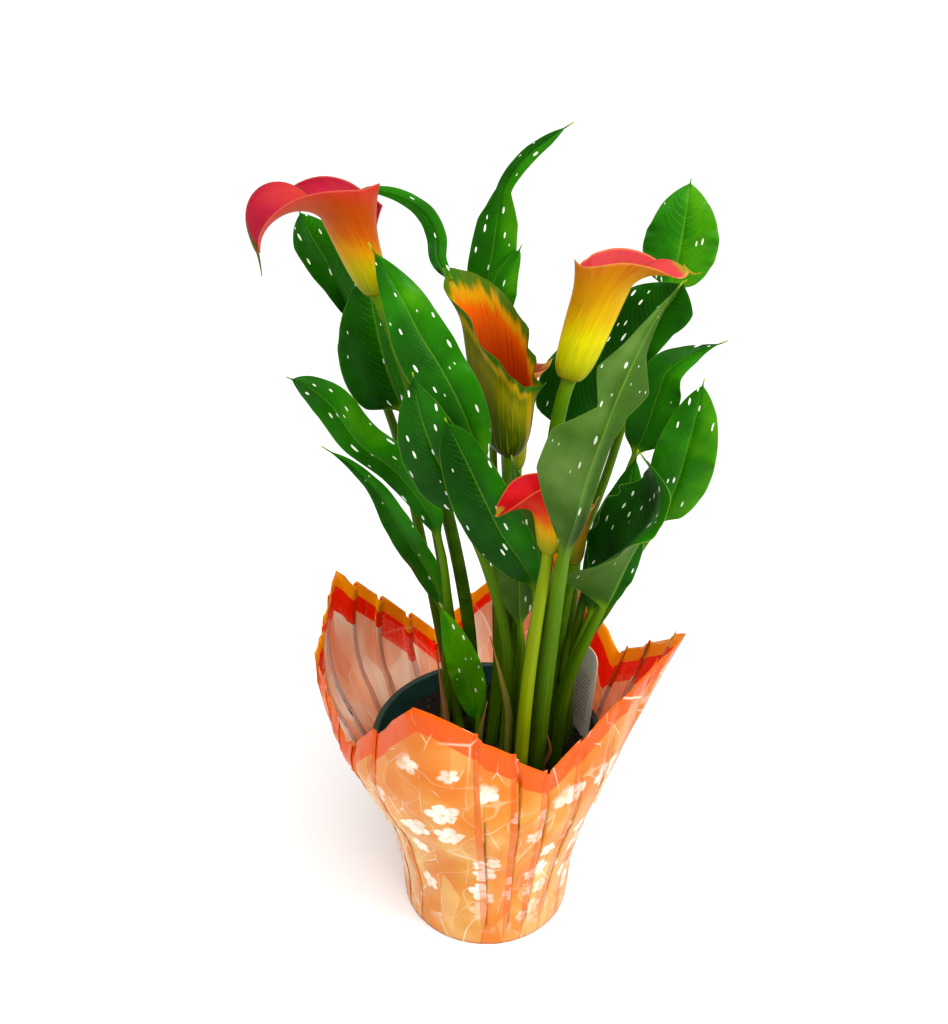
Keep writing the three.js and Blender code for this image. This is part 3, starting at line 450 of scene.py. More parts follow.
def half_width(leaf, t, side):
    s = min(1.0, max(0.0, t / THREAD_FROM))
    widest = leaf["widest"]
    rise = (s / widest) ** (BLADE_POINTEDNESS * widest)
    fall = ((1 - s) / (1 - widest)) ** (BLADE_POINTEDNESS * (1 - widest))
    scale = evenly(leaf[side], s) if side in leaf else 1
    return max(THREAD_HALF_WIDTH, leaf["half_width"] * scale * rise * fall)


def leaf_ring(leaf, curve, u, t):
    """The ring at u of the path and t of the blade, its points' way off the midrib and how
    much of a blade it is: the petiole is round and turns flat where the blade starts."""
    flat = smoothstep(-0.02, 0.1, t)
    along = curve.along(u)
    up = evenly(leaf["face"], t)
    up = unit(up - up @ along * along)
    foot, neck = leaf["petiole"]
    stem = mix(foot, neck, u / blade_start(leaf)) if t < 0 else neck * (1 - 0.8 * t)
    width = np.where(IS_LEFT, half_width(leaf, t, "left"), half_width(leaf, t, "right")) * (t > 0)
    bend = np.radians(evenly(leaf["bend"], t))[:, None]
    fold, curl = np.where(IS_LEFT, bend[:2], bend[-2:])
    curl = np.where(curl == 0, 1e-4, curl)
    angle = fold + curl * SIZE
    out = width * (np.sin(angle) - np.sin(fold)) / curl
    lift = width * (np.cos(fold) - np.cos(angle)) / curl

    height, waves, phase = leaf["wave"]
    turn = np.where(IS_LEFT, phase, phase + 1.3)
    length_angle = 2 * math.pi * t
    slow, fast = FRILL_COUNTS
    frill = np.sin(slow * length_angle + 3 * turn) + 0.5 * np.sin(fast * length_angle - 2 * turn)
    ends = math.sin(math.pi * min(1.0, max(0.0, t)))
    lift += height * SIZE ** 2 * ends * np.sin(waves * length_angle + turn)
    lift += width * FRILL_SHARE * frill * SIZE ** 4 * ends

    half = FACE * BLADE_THICKNESS / 2 * np.sqrt(1 - SIZE ** 4)
    rib_under = stem * np.maximum(0, 1 - 2.2 * SIZE) ** 1.5
    rib = np.where(FACE < 0, rib_under, 0.5 * np.maximum(0, 1 - 9 * SIZE))
    x = mix(stem * np.sin(math.pi / 2 * SHARE), SIDE * (out - half * np.sin(angle)), flat)
    y = mix(FACE * stem * np.cos(math.pi / 2 * SHARE), lift + half * np.cos(angle) - rib, flat)
    ring = curve.at(u) + x[:, None] * np.cross(along, up) + y[:, None] * up
    return ring, SIDE * width * SIZE, [flat]


def blade_start(leaf):
    return leaf["blade"] / (len(leaf["path"]) - 1)


def build_leaf(leaf, tone):
    curve = Curve(leaf["path"])
    start = blade_start(leaf)
    stem_rows = leaf["blade"] * PETIOLE_ROWS_PER_SPAN
    us = [start * row / stem_rows for row in range(stem_rows)]
    us += [mix(start, 1, row / BLADE_ROWS) for row in range(BLADE_ROWS + 1)]
    ts = [(u - start) / (1 - start) for u in us]
    marks = [curve.at(mix(start, 1, k / LENGTH_STEPS)) for k in range(LENGTH_STEPS + 1)]
    length = sum(np.linalg.norm(b - a) for a, b in zip(marks, marks[1:]))
    rings, offsets, flats = zip(*(leaf_ring(leaf, curve, u, t) for u, t in zip(us, ts)))
    u, t = np.array(us)[:, None], np.array(ts)[:, None]
    sweep = VEIN_SWEEP * SIZE ** 1.6
    return body(
        rings, tone=tone, across=SHARE, along=t, run=t * length, down=u / max(start, 1e-6),
        upper=np.where(SIZE > 0.999, 0, FACE), offset=offsets, blade=flats,
        vein=(t - sweep) / (1 - sweep) * length / VEIN_SPACING,
    )


# Flowers

SPATHE_RISES = [k / 44 * 0.96 for k in range(45)] + [0.98, 0.993, 1]
SPATHE_TURNS = [-1, -0.993, -0.98] + [k / 36 * 0.96 for k in range(-36, 37)] + [0.98, 0.993, 1]
PROFILE_STEPS = 60
SPIRAL_PER_TURN = 1.9
# How high the fine ripple of each rim is
RUFFLES = {1: 0.5, 2: 0.4, 3: 2.2, 4: 0.4, 5: 0.3, 6: 0.2}
# Thin green ends of two tips: where on the rim, how long and how much each hooks down
WISPS = {1: [0.08, 15, 0.6], 2: [0, 7, -0.3]}
WISP_RADII = (1.5, 0.25)
WISP_ROWS, WISP_SIDES = 24, 12
CUP_RISES = [0, 0.04, 0.08, 0.12]
CUP_SIDES = 48
SCAPE_ROWS, SCAPE_SIDES = 60, 36
SCAPE_RIBS = 9
SCAPE_RIB_HEIGHT = 0.025
SPADIX_ROWS, SPADIX_SIDES = 120, 52
SPADIX_BEAD_HEIGHT = 0.07
SPADIX_BEADS_PER_TURN = 13
SPADIX_BEAD_PITCH = 1.1
BRIGHT_SCAPE = 4


class Spathe:
    """One sheet rolled round the end of a scape, point by point."""

    def __init__(self, flower):
        self.flower = flower
        points = np.asarray(flower["path"], float)
        self.axis = unit(points[-1] - points[-2])
        self.base = points[-1] + STEM_GAP * self.axis
        self.tip = unit(np.asarray(flower["tip"], float))
        self.lean = np.asarray(flower["lean"], float)

    def row(self, turns, rise):
        """The points of the sheet's middle at a rise, one for each turn round the axis."""
        flower = self.flower
        turns = np.asarray(turns, float)
        low, high = flower["wrap"]
        angle = turns * math.radians(mix(low, high, smoothstep(0.2, 1, rise)))
        towards_tip = ((1 + np.cos(angle)) / 2) ** 4
        ripple, ripples, phase = flower["ripple"]
        ear, ear_width = flower["ear"]
        length = (flower["length"] * (1 + flower["slant"] * np.cos(angle))
                  + ripple * np.sin(ripples * angle + phase)
                  + flower["beak"] * np.exp(-(angle / 0.4) ** 2)
                  + ear * np.exp(-((1 - turns * flower["outer"]) / ear_width) ** 2))
        belly, reach = flower["belly"]
        flare = mix(flower["flare"][0], flower["flare"][1], towards_tip)
        steps = PROFILE_STEPS * rise
        radius = np.full(len(turns), float(flower["foot"]))
        height = np.zeros(len(turns))
        for step in range(math.ceil(steps)):
            part = min(1.0, steps - step)
            s = (step + part / 2) / PROFILE_STEPS
            slope = np.radians(belly * math.exp(-s / reach) + flower["open"]
                               + flare * smoothstep(flower["roll"], 1, s))
            radius += np.sin(slope) * length / PROFILE_STEPS * part
            height += np.cos(slope) * length / PROFILE_STEPS * part
        size, count, phase = flower["wave"]
        radius += size * np.sin(count * angle + phase) * rise ** 3
        radius += RUFFLES[flower["number"]] * np.sin(10 * angle + np.sin(3 * angle)) * rise ** 9
        radius += SPIRAL_PER_TURN * flower["outer"] * angle / (2 * math.pi)
        bent = height / flower["length"]
        axis = unit(self.axis + bent[:, None] * self.lean)
        front = unit(self.tip - (axis @ self.tip)[:, None] * axis)
        side = np.cross(axis, front)
        spin = angle * (1 - flower["pinch"] * smoothstep(0.5, 1, rise) * np.exp(-angle ** 2))
        return (self.base + height[:, None] * self.axis + (height * bent / 2)[:, None] * self.lean
                + (np.cos(spin) * radius)[:, None] * front + (np.sin(spin) * radius)[:, None] * side)


def spathe_sheet(flower):
    spathe = Spathe(flower)
    turns = np.array(SPATHE_TURNS)
    rings = []
    for rise in SPATHE_RISES:
        middle = spathe.row(turns, rise)
        around = spathe.row(turns + 0.01, rise) - spathe.row(turns - 0.01, rise)
        upward = spathe.row(turns, min(1, rise + 0.02)) - spathe.row(turns, max(0, rise - 0.02))
        thinning = np.sqrt(np.maximum(0.04, 1 - np.maximum(np.abs(turns), rise) ** 24))
        half = SPATHE_THICKNESS / 2 * thinning[:, None] * unit(np.cross(around, upward))
        rings.append(np.concatenate([middle + half, (middle - half)[::-1]]))
    turn = np.concatenate([turns, turns[::-1]])
    rise = np.array(SPATHE_RISES)[:, None]
    angle = turn * math.radians(flower["wrap"][1])
    tip = np.exp(-(angle / 0.7) ** 2) * smoothstep(0.55, 1, rise)
    return body(rings, sheet=True, turn=turn, rise=rise, tip=tip, edge=np.maximum(np.abs(turn), rise),
                inside=np.repeat([0, 1], len(turns)))


def spathe_cup(flower):
    """The closed bottom of the tube, which the spadix stands on."""
    spathe = Spathe(flower)
    whole = 180 / flower["wrap"][0]
    turns = np.linspace(-whole, whole, CUP_SIDES, endpoint=False)
    return body([spathe.row(turns, rise) for rise in CUP_RISES], rise=np.array(CUP_RISES)[:, None])


def spathe_wisp(flower):
    spathe = Spathe(flower)
    turn, length, hook = WISPS[flower["number"]]
    root, tip = spathe.row([turn], 0.95)[0], spathe.row([turn], 1)[0]
    onward = unit(tip - root)
    down = np.array([0, 0, -1.0])
    curve = Curve([root, tip, tip + length * 0.45 * unit(onward + hook * down),
                   tip + length * 0.9 * unit(onward + 2 * hook * down)])
    points, faces, _ = tube(curve, WISP_ROWS, WISP_SIDES, lambda u, angles: mix(*WISP_RADII, u ** 0.6))
    return points, faces, {"rise": 1.0, "tip": 1.0}


def build_spathe(flower):
    parts = [spathe_sheet(flower), spathe_cup(flower)]
    if flower["number"] in WISPS:
        parts.append(spathe_wisp(flower))
    return joined(*parts)


def build_scape(flower):
    foot, neck = flower["stem"]

    def radius_at(u, angles):
        ribs = 1 + SCAPE_RIB_HEIGHT * np.cos(SCAPE_RIBS * angles)
        return mix(foot, neck, u) * ribs + 0.5 * smoothstep(0.93, 1, u)

    bright = float(flower["number"] == BRIGHT_SCAPE)
    return tube(Curve(flower["path"]), SCAPE_ROWS, SCAPE_SIDES, radius_at, bright=bright)


def build_spadix(flower):
    spathe = Spathe(flower)
    foot = float((spathe.row([0.0], CUP_RISES[-1])[0] - spathe.base) @ spathe.axis) + 1
    top = foot + flower["spadix"]
    heights = [foot, foot + 6, foot + flower["spadix"] * 0.6, top - 2, top]
    radii = [share * flower["foot"] for share in (0.37, 0.48, 0.42, 0.32, 0.13)]
    path = [spathe.base + h * spathe.axis + h * h / flower["length"] / 2 * spathe.lean for h in heights]

    def radius_at(u, angles):
        turns = u * flower["spadix"] / SPADIX_BEAD_PITCH
        beads = np.cos(SPADIX_BEADS_PER_TURN * angles + math.pi * math.floor(turns))
        return evenly(radii, u) * (1 + SPADIX_BEAD_HEIGHT * beads * math.cos(2 * math.pi * turns))

    return tube(Curve(path), SPADIX_ROWS, SPADIX_SIDES, radius_at)


# Pot cover: the film of the source, with real folds. Each pleat's panel runs over the
# next one's start, turns back under itself and forward again. PLEATS gives the fold's
# place, as a key number plus the share of the way to the next key.

COVER_RINGS = [[0, COVER_FOOT_RADIUS], [44, 63], [92, 73]]
WAIST_HEIGHT = 140
COVER_ROWS = 54
PLEATS = [0.42, 0.72, 0.98, 1.22, 1.5, 1.78, 2.15, 2.5, 2.85, 3.3, 3.6, 3.82, 4.3, 4.65, 4.95,
          5.25, 5.55, 5.8, 6.3, 6.66, 7.0, 7.35, 7.7, 8.05, 8.4]
FOLD_DEPTH = 4.5
LAYER_GAP = 0.36
EDGE_STEP = 1.8
PANEL_PARTS = [0.12, 0.25, 0.4, 0.55, 0.7, 0.85, 1]
LOWEST_FILM = 0.3
BELLY_FROM = 0.75
BASE_SIDES = 96


def corner(key):
    s, c = sin_cos(key["azimuth"])
    return np.array([key["edge"] * c, key["edge"] * s, key["top"]])


def cover_point(place, rise):
    """Radius, angle and height of the film at a place round the cover and a rise up it."""
    index = int(place) % len(COVER_KEYS)
    key, following = COVER_KEYS[index], COVER_KEYS[(index + 1) % len(COVER_KEYS)]
    part = place - math.floor(place)
    edge_point = mix(corner(key), corner(following), part)
    waist = mix(key["waist"], following["waist"], part)
    belly = mix(key["belly"], following["belly"], part)
    rings = COVER_RINGS + [[WAIST_HEIGHT, waist], [edge_point[2], math.hypot(*edge_point[:2])]]
    radius, _, height = Curve([[r, 0, z] for z, r in rings]).at(rise)
    if rise > BELLY_FROM:
        radius += belly * math.sin(math.pi * (rise - BELLY_FROM) / (1 - BELLY_FROM))
    turn = (following["azimuth"] - key["azimuth"]) % 360
    azimuth = math.radians(key["azimuth"] + turn * part)
    drift = math.atan2(edge_point[1], edge_point[0]) - azimuth
    return radius, azimuth + math.atan2(math.sin(drift), math.cos(drift)) * rise, height


def wrinkle(place, rise):
    """Creases of the film: long ones that run up it and short slanting ones."""
    a = 2 * math.pi * place / len(COVER_KEYS)
    ridge = 1 - abs(math.sin(21 * a + 2.2 * math.sin(5 * a) + 3 * rise))
    cross = 1 - abs(math.sin(9 * a - 14 * rise + 1.5 * math.sin(7 * a)))
    fine = math.sin(57 * a + 6 * rise) * math.sin(23 * rise + 11 * a)
    return smoothstep(0.1, 0.5, rise) * (1.1 * ridge ** 3 + 0.8 * cross ** 4 + 0.35 * fine)


def film_columns():
    """Columns round the film: place, steps of fold depth sideways, layers inwards, the
    sheet's normal sideways and outwards, how far the panel has run, and if it lies double
    as seen from outside and from inside."""
    columns = []
    for index, place in enumerate(PLEATS):
        span = (PLEATS[(index + 1) % len(PLEATS)] - place) % len(COVER_KEYS)
        end = place + span
        for side, double in ((0, 1), (0.5, 1), (0.97, 1), (1, 0)):
            columns.append((place, side, 2, 0, 1, 0, (0, double)))
        for part in PANEL_PARTS:
            side = (1 - part) if part < 0.2 else 0
            layer = 2 * (1 - smoothstep(0, 0.5, part))
            columns.append((place + span * part, side, layer, 0, 1, part, (0, 0)))
        for side, double in ((0.03, 1), (0.5, 1), (1, 1)):
            columns.append((end, side, 0, 0, 1, 1, (double, 0)))
        for degrees in (45, 0, -45):
            s, c = sin_cos(degrees)
            columns.append((end, 1 + 0.03 * c, 0.5 - 0.5 * s, c, s, 1, (1, 1)))
        for side in (1, 0.5, 0):
            columns.append((end, side, 1, 0, -1, side, (1, 1)))
        for degrees in (135, 180, 225):
            s, c = sin_cos(degrees)
            columns.append((end, 0.03 * c, 1.5 - 0.5 * s, -c, -s, 0, (1, 1)))
    return columns


def path_lengths(points):
    """How far along each point lies, over the first axis."""
    steps = np.diff(points, axis=0, prepend=points[:1])
    return np.cumsum(np.linalg.norm(steps, axis=-1), axis=0)


def build_cover():
    columns = film_columns()
    count = len(columns)
    panels = [k * len(PLEATS) // count for k in range(count)]
    rises = [(k / COVER_ROWS) ** 0.95 for k in range(COVER_ROWS + 1)]
    draw = random.Random(5)
    steps = [EDGE_STEP * draw.uniform(0.6, 1.3) for _ in PLEATS]
    sheets = np.zeros((3, len(rises), count, 3))
    for level, rise in enumerate(rises):
        fold = FOLD_DEPTH * (0.12 + 0.88 * smoothstep(0, 0.25, rise)) * (1 - 0.35 * smoothstep(0.7, 1, rise))
        gap = LAYER_GAP * (0.3 + 0.7 * smoothstep(0, 0.15, rise))
        for k, (place, side, layer, normal_side, normal_out, run, _) in enumerate(columns):
            radius, angle, height = cover_point(place, rise)
            angle += side * fold / radius
            radius += wrinkle(place + side * 0.05, rise) + gap * (1.2 - layer)
            height += steps[panels[k]] * (2 * run - 1) * rise ** 6
            for sheet, half in zip(sheets, (0, FILM_THICKNESS / 2, -FILM_THICKNESS / 2)):
                r = radius + half * normal_out
                a = angle + half * normal_side / radius
                sheet[level, k] = r * math.cos(a), r * math.sin(a), height
    middle, outer, inner = sheets
    climb = path_lengths(middle)
    rings = np.concatenate([outer, inner[::-1]])
    rings[..., 2] = np.maximum(rings[..., 2], LOWEST_FILM)
    total = len(rings)
    faces = []
    for row in range(total):
        for k in range(count):
            a, b, c, d = ((row + down) % total * count + (k + across) % count
                          for down, across in ((0, 0), (0, 1), (1, 1), (1, 0)))
            faces += [(a, b, c), (a, c, d)] if row < len(rises) else [(a, b, d), (b, c, d)]
    climbs = np.concatenate([climb, climb[::-1]])
    attributes = dict(
        inside=np.repeat([0, 1], len(rises))[:, None], climb=climbs, from_edge=climb[-1] - climbs,
        around=path_lengths(middle[len(rises) * 2 // 3]), place=[column[0] for column in columns],
        panel=panels, double=np.repeat(np.array([column[6] for column in columns]).T, len(rises), axis=0),
    )
    points = rings.reshape(-1, 3)
    film = points, facing_out(points, faces), spread(rings.shape[:2], attributes)
    return joined(film, film_base())


def film_base():
    """The flat bottom of the film, under the pot."""
    foot = COVER_FOOT_RADIUS
    profile = [(2, 0.05), (foot - 3, 0.05), (foot - 1, 0.5), (foot - 1, 0.7), (foot - 3, 0.4), (2, 0.4)]
    return lathe(profile, BASE_SIDES, from_edge=200.0)


# Pot, soil and plant tag

POT_SIDES = 144


def lathe(profile, sides, **attributes):
    """A closed body turned round the Z axis from (radius, height) pairs."""
    return body([level_ring(radius, z, sides) for radius, z in profile], **attributes)


def pot_wall(z):
    return mix(POT_FOOT_RADIUS, POT_RIM_RADIUS - POT_LIP_WALL, z / POT_HEIGHT)


def build_pot():
    lip = POT_HEIGHT - POT_LIP_HEIGHT
    inner = pot_wall(POT_HEIGHT) - POT_WALL
    rim = POT_RIM_RADIUS
    profile = [
        (2, 0), (pot_wall(0) - 1, 0), (pot_wall(0), 1), (pot_wall(30), 30), (pot_wall(lip), lip - 0.4),
        (pot_wall(lip) + 0.4, lip), (rim - 1.3, lip), (rim - 0.9, lip + 0.4), (rim - 0.5, lip + 7),
        (rim - 0.1, POT_HEIGHT - 2.4), (rim, POT_HEIGHT - 1.4), (rim - 0.4, POT_HEIGHT - 0.4),
        (rim - 1.2, POT_HEIGHT), (inner + 0.9, POT_HEIGHT), (inner + 0.2, POT_HEIGHT - 0.5),
        (inner, POT_HEIGHT - 1.4), (inner - 0.4, POT_HEIGHT - 7), (pot_wall(lip) - POT_WALL, lip - 1),
        (pot_wall(30) - POT_WALL, 30), (pot_wall(2) - POT_WALL, 3), (pot_wall(2) - POT_WALL - 1, 2), (2, 2),
    ]
    return lathe([(radius, z + POT_LIFT) for radius, z in profile], POT_SIDES)


SOIL_FOOT = 4.6
SOIL_SIDES = 180
SOIL_STEPS = 56
GRAINS = 620
PALE_GRAINS = 0.12


def soil_height(x, y):
    lump = 1.6 * np.sin(x * 0.16 + 1) * np.cos(y * 0.19) + np.sin(x * 0.07 - y * 0.11)
    crumb = (0.9 * np.sin(x * 0.71 + 1.3 * np.sin(y * 0.43)) * np.sin(y * 0.83 + 1.1 * np.sin(x * 0.37))
             + 0.5 * np.sin(x * 1.9 + y * 0.7) * np.sin(y * 2.1 - x * 0.9))
    return SOIL_TOP + lump + crumb


def build_soil():
    wall = pot_wall(SOIL_TOP - 3) - POT_WALL - 0.6
    foot = pot_wall(5) - POT_WALL - 0.8
    rings = [level_ring(radius, SOIL_FOOT, SOIL_SIDES) for radius in (2, foot)]
    for step in range(SOIL_STEPS, 0, -1):
        ring = level_ring(wall * step / SOIL_STEPS, 0, SOIL_SIDES)
        ring[:, 2] = soil_height(ring[:, 0], ring[:, 1])
        rings.append(ring)
    return joined(body(rings), *soil_grains(wall))


def soil_grains(wall):
    """Crumbs, bark chips and pale flecks, each a small rough lump sunk into the soil."""
    draw = random.Random(11)
    grains = []
    for _ in range(GRAINS):
        radius, angle = wall * 0.96 * math.sqrt(draw.random()), draw.uniform(0, 2 * math.pi)
        x, y = radius * math.cos(angle), radius * math.sin(angle)
        pale = draw.random() < PALE_GRAINS
        size = draw.uniform(0.5, 1.1) if pale else draw.uniform(0.8, 2.6)
        wide, deep, tall = draw.uniform(0.6, 1.5), draw.uniform(0.5, 1), draw.uniform(0.4, 0.8)
        spin = draw.uniform(0, math.pi)
        rings = []
        for level in (-0.8, 0, 0.8):
            reach = math.sqrt(1 - level * level)
            z = soil_height(x, y) + size * tall * (level + 0.3)
            ring = []
            for a in circle(6):
                rough = size * draw.uniform(0.75, 1.2)
                px, py = wide * reach * math.cos(a), deep * reach * math.sin(a)
                ring.append([x + rough * (px * math.cos(spin) - py * math.sin(spin)),
                             y + rough * (px * math.sin(spin) + py * math.cos(spin)), z])
            rings.append(ring)
        grains.append(body(rings, fleck=1.0 if pale else draw.uniform(0, 0.45)))
    return grains


# The tag: its card's size and corners, where it tapers to its point, where its right
# side stands in the soil, which way it faces and how far it leans, in degrees
TAG_WIDTH = 46
TAG_TOP = 205
TAG_CORNER = 8
TAG_TAPER = 131
TAG_POINT = (29, 104)
TAG_MIDDLE = 165
TAG_PLACE = (70.5, 6)
TAG_AZIMUTH = 117
TAG_LEAN = 4


def build_tag():
    outline = [(0, TAG_TAPER)]
    for centre, start in ((TAG_CORNER, 180), (TAG_WIDTH - TAG_CORNER, 90)):
        for k in range(13):
            s, c = sin_cos(start - 90 * k / 12)
            outline.append((centre + TAG_CORNER * c, TAG_TOP + TAG_CORNER * (s - 1)))
    x, z = TAG_POINT
    outline = np.array(outline + [(TAG_WIDTH, TAG_TAPER), (x + 0.6, z), (x - 0.6, z)])
    inward = unit([TAG_WIDTH / 2, TAG_MIDDLE] - outline)
    tilt, turn = math.pi / 2 + math.radians(TAG_LEAN), math.radians(TAG_AZIMUTH)
    rings, flats = [], []
    for inset, depth in ((0.25, -0.5), (0, -0.3), (0, 0.3), (0.25, 0.5)):
        x, up = (outline + inset * inward).T
        flats.append((x, up))
        y, z = up - TAG_TAPER, depth * CARD_THICKNESS
        y, z = y * math.cos(tilt) - z * math.sin(tilt), y * math.sin(tilt) + z * math.cos(tilt)
        rings.append(np.stack([x * math.cos(turn) - y * math.sin(turn) + TAG_PLACE[0],
                               x * math.sin(turn) + y * math.cos(turn) + TAG_PLACE[1], z + TAG_TAPER], 1))
    card_x, card_z = np.array(flats).transpose(1, 0, 2)
    return body(rings, card_x=card_x, card_z=card_z)


# Materials

def colour(code):
    """A web colour as linear light."""
    parts = [int(code[k:k + 2], 16) / 255 for k in (1, 3, 5)]
    return [c / 12.92 if c <= 0.04045 else ((c + 0.055) / 1.055) ** 2.4 for c in parts] + [1.0]


class Number:
    """A number that a material's nodes work out, and that sums can be written with."""

    def __init__(self, paint, socket):
        self.paint = paint
        self.socket = socket

    def __add__(self, other):
        return self.paint.math("ADD", self, other)

    def __sub__(self, other):
        return self.paint.math("SUBTRACT", self, other)

    def __mul__(self, other):
        return self.paint.math("MULTIPLY", self, other)

    def __truediv__(self, other):
        return self.paint.math("DIVIDE", self, other)

    def __abs__(self):
        return self.paint.math("ABSOLUTE", self)


class Paint:
    """A material's nodes, built up round its shader."""

    def __init__(self, name, **settings):
        self.material = bpy.data.materials.new(name)
        self.material.use_nodes = True
        self.tree = self.material.node_tree
        self.shader = self.tree.nodes["Principled BSDF"]
        for key, value in settings.items():
            self.shader.inputs[key.replace("_", " ")].default_value = value

    def feed(self, socket, value):
        if isinstance(value, Number):
            value = value.socket
        if isinstance(value, bpy.types.NodeSocket):
            self.tree.links.new(value, socket)
        else:
            socket.default_value = colour(value) if isinstance(value, str) else value

    def node(self, kind, inputs=None, **settings):
        made = self.tree.nodes.new("ShaderNode" + kind)
        for key, value in settings.items():
            setattr(made, key, value)
        for key, value in (inputs or {}).items():
            self.feed(made.inputs[key], value)
        return made

    def attributes(self, *names):
        return [Number(self, self.node("Attribute", attribute_name=name).outputs["Fac"]) for name in names]

    def math(self, operation, a, b=0.0):
        return Number(self, self.node("Math", {0: a, 1: b}, operation=operation).outputs[0])

    def vector(self, x, y, z=0.0):
        return self.node("CombineXYZ", {0: x, 1: y, 2: z}).outputs[0]

    def vector_math(self, operation, a, b=(0.0, 0.0, 0.0)):
        return self.node("VectorMath", {0: a, 1: b}, operation=operation).outputs

    def place(self):
        """Where a point is, in metres."""
        return self.node("TexCoord").outputs["Object"]

    def step(self, low, high, value, to_low=0.0, to_high=1.0):
        inputs = {"Value": value, "From Min": low, "From Max": high, "To Min": to_low, "To Max": to_high}
        return Number(self, self.node("MapRange", inputs, interpolation_type="SMOOTHSTEP").outputs["Result"])

    def noise(self, vector, scale=1.0, detail=2.0, roughness=0.5):
        inputs = {"Vector": vector, "Scale": scale, "Detail": detail, "Roughness": roughness}
        return Number(self, self.node("TexNoise", inputs).outputs["Fac"])

    def cells(self, vector, randomness=1.0):
        """Cells 1 wide: the distance from the cell's middle, the middle, three numbers drawn for the cell."""
        inputs = {"Vector": vector, "Scale": 1.0, "Randomness": randomness}
        made = self.node("TexVoronoi", inputs, voronoi_dimensions="2D").outputs
        drawn = self.node("SeparateColor", {"Color": made["Color"]}).outputs
        return Number(self, made["Distance"]), made["Position"], [Number(self, socket) for socket in drawn]

    def cell_edges(self, vector):
        """The distance from the edges of the same cells."""
        made = self.node("TexVoronoi", {"Vector": vector, "Scale": 1.0}, voronoi_dimensions="2D",
                         feature="DISTANCE_TO_EDGE")
        return Number(self, made.outputs["Distance"])

    def mix(self, share, a, b):
        made = self.node("Mix", data_type="RGBA")
        for key, value in (("Factor_Float", share), ("A_Color", a), ("B_Color", b)):
            self.feed(next(s for s in made.inputs if s.identifier == key), value)
        return next(s for s in made.outputs if s.identifier == "Result_Color")

    def layers(self, base, *layers):
        """The base with colours laid over it, each with its share."""
        for share, tint in layers:
            base = self.mix(share, base, tint)
        return base

    def ramp(self, share, *stops):
        made = self.node("ValToRGB", {"Fac": share})
        elements = made.color_ramp.elements
        while len(elements) < len(stops):
            elements.new(0.5)
        for element, (place, code) in zip(elements, stops):
            element.position = place
            element.color = colour(code)
        return made.outputs["Color"]

    def bump(self, height, strength, distance):
        made = self.node("Bump", {"Height": height, "Strength": strength, "Distance": distance})
        self.feed(self.shader.inputs["Normal"], made.outputs["Normal"])

    def finish(self, base, roughness):
        self.feed(self.shader.inputs["Base Color"], base)
        self.feed(self.shader.inputs["Roughness"], roughness)
        return self.material


# The leaves' white spots: how thinly they are strewn, the least and greatest share of
# their cell, and the cells to a mm across the blade and along it
SPOTS_FROM = 0.83
SPOT_REACH = (0.07, 0.2)
SPOT_CELLS = (0.3, 0.08)


def leaf_material():
    paint = Paint("leaf_skin", Specular_IOR_Level=0.06, Subsurface_Weight=0.2,
                  Subsurface_Radius=(0.5, 1.0, 0.1), Subsurface_Scale=0.0015)
    across, along, vein, offset = paint.attributes("across", "along", "vein", "offset")
    run, tone, down, blade, upper = paint.attributes("run", "tone", "down", "blade", "upper")
    size = abs(across)
    upper = paint.step(-0.05, 0.05, upper)
    mottle = paint.noise(paint.place(), 28.0, 3.0)
    # Painted light: on both faces the right half of every blade is painted lighter than the left half,
    # standing in for sheen. The mottle and each leaf's own tone add to it.
    light = mottle + paint.step(-0.5, 0.5, across, -0.14, 0.14) + tone * 0.5
    grain = paint.noise(paint.vector(vein * 3.0, offset * 0.05))
    ribs = paint.step(0.0, 0.11, paint.math("PINGPONG", vein, 0.5), 1.0, 0.0)
    top = paint.layers(
        paint.ramp(light, (0.2, "#083400"), (0.45, "#125000"), (0.7, "#206E00"), (0.95, "#488E00")),
        (paint.step(0.3, 0.7, grain, 0.0, 0.3), "#0C4A00"), (ribs * 0.1, "#5AA010"))
    under = paint.layers(
        paint.ramp(light, (0.25, "#1E3A06"), (0.6, "#365812"), (0.95, "#5C7C34")), (ribs * 0.15, "#64803C"))

    # The spots are drawn out along the blade and fainter underneath
    cell = paint.vector(offset * SPOT_CELLS[0] + tone * 90.0, run * SPOT_CELLS[1])
    distance, _, drawn = paint.cells(cell, 0.9)
    inside_spot = paint.math("LESS_THAN", distance, paint.step(0.0, 1.0, drawn[1], *SPOT_REACH))
    spots = paint.step(SPOTS_FROM, SPOTS_FROM + 0.001, drawn[0]) * inside_spot
    spots = spots * paint.step(0.95, 0.9, size) * paint.step(-0.5, 1.0, upper, 0.45, 0.85)

    skin_colour = paint.layers(
        paint.mix(upper, under, top),
        (paint.step(0.01, 0.045, size, 0.3, 0.0), "#6E9C24"),
        (spots, "#F0F4E4"),
        (paint.step(0.975, 0.995, size, 0.0, 0.6), "#7E9E3C"),
        (paint.step(0.955, 0.99, along, 0.0, 0.85), "#98A826"))
    down = down + mottle * 0.3
    fibres = paint.noise(paint.vector(across * 9.0, down * 3.0))
    stem = paint.layers(
        paint.ramp(down, (0.1, "#283E00"), (0.5, "#345200"), (0.9, "#446800"), (1.0, "#4C7000")),
        (paint.step(0.35, 0.65, fibres, 0.0, 0.35), "#547800"))
    paint.bump(mottle * 0.5 - ribs * 0.6, 0.35, 0.0006)
    return paint.finish(paint.mix(paint.step(0.2, 0.9, blade), stem, skin_colour),
                        paint.step(0.0, 1.0, upper, 0.45, 0.27) + mottle * 0.1)


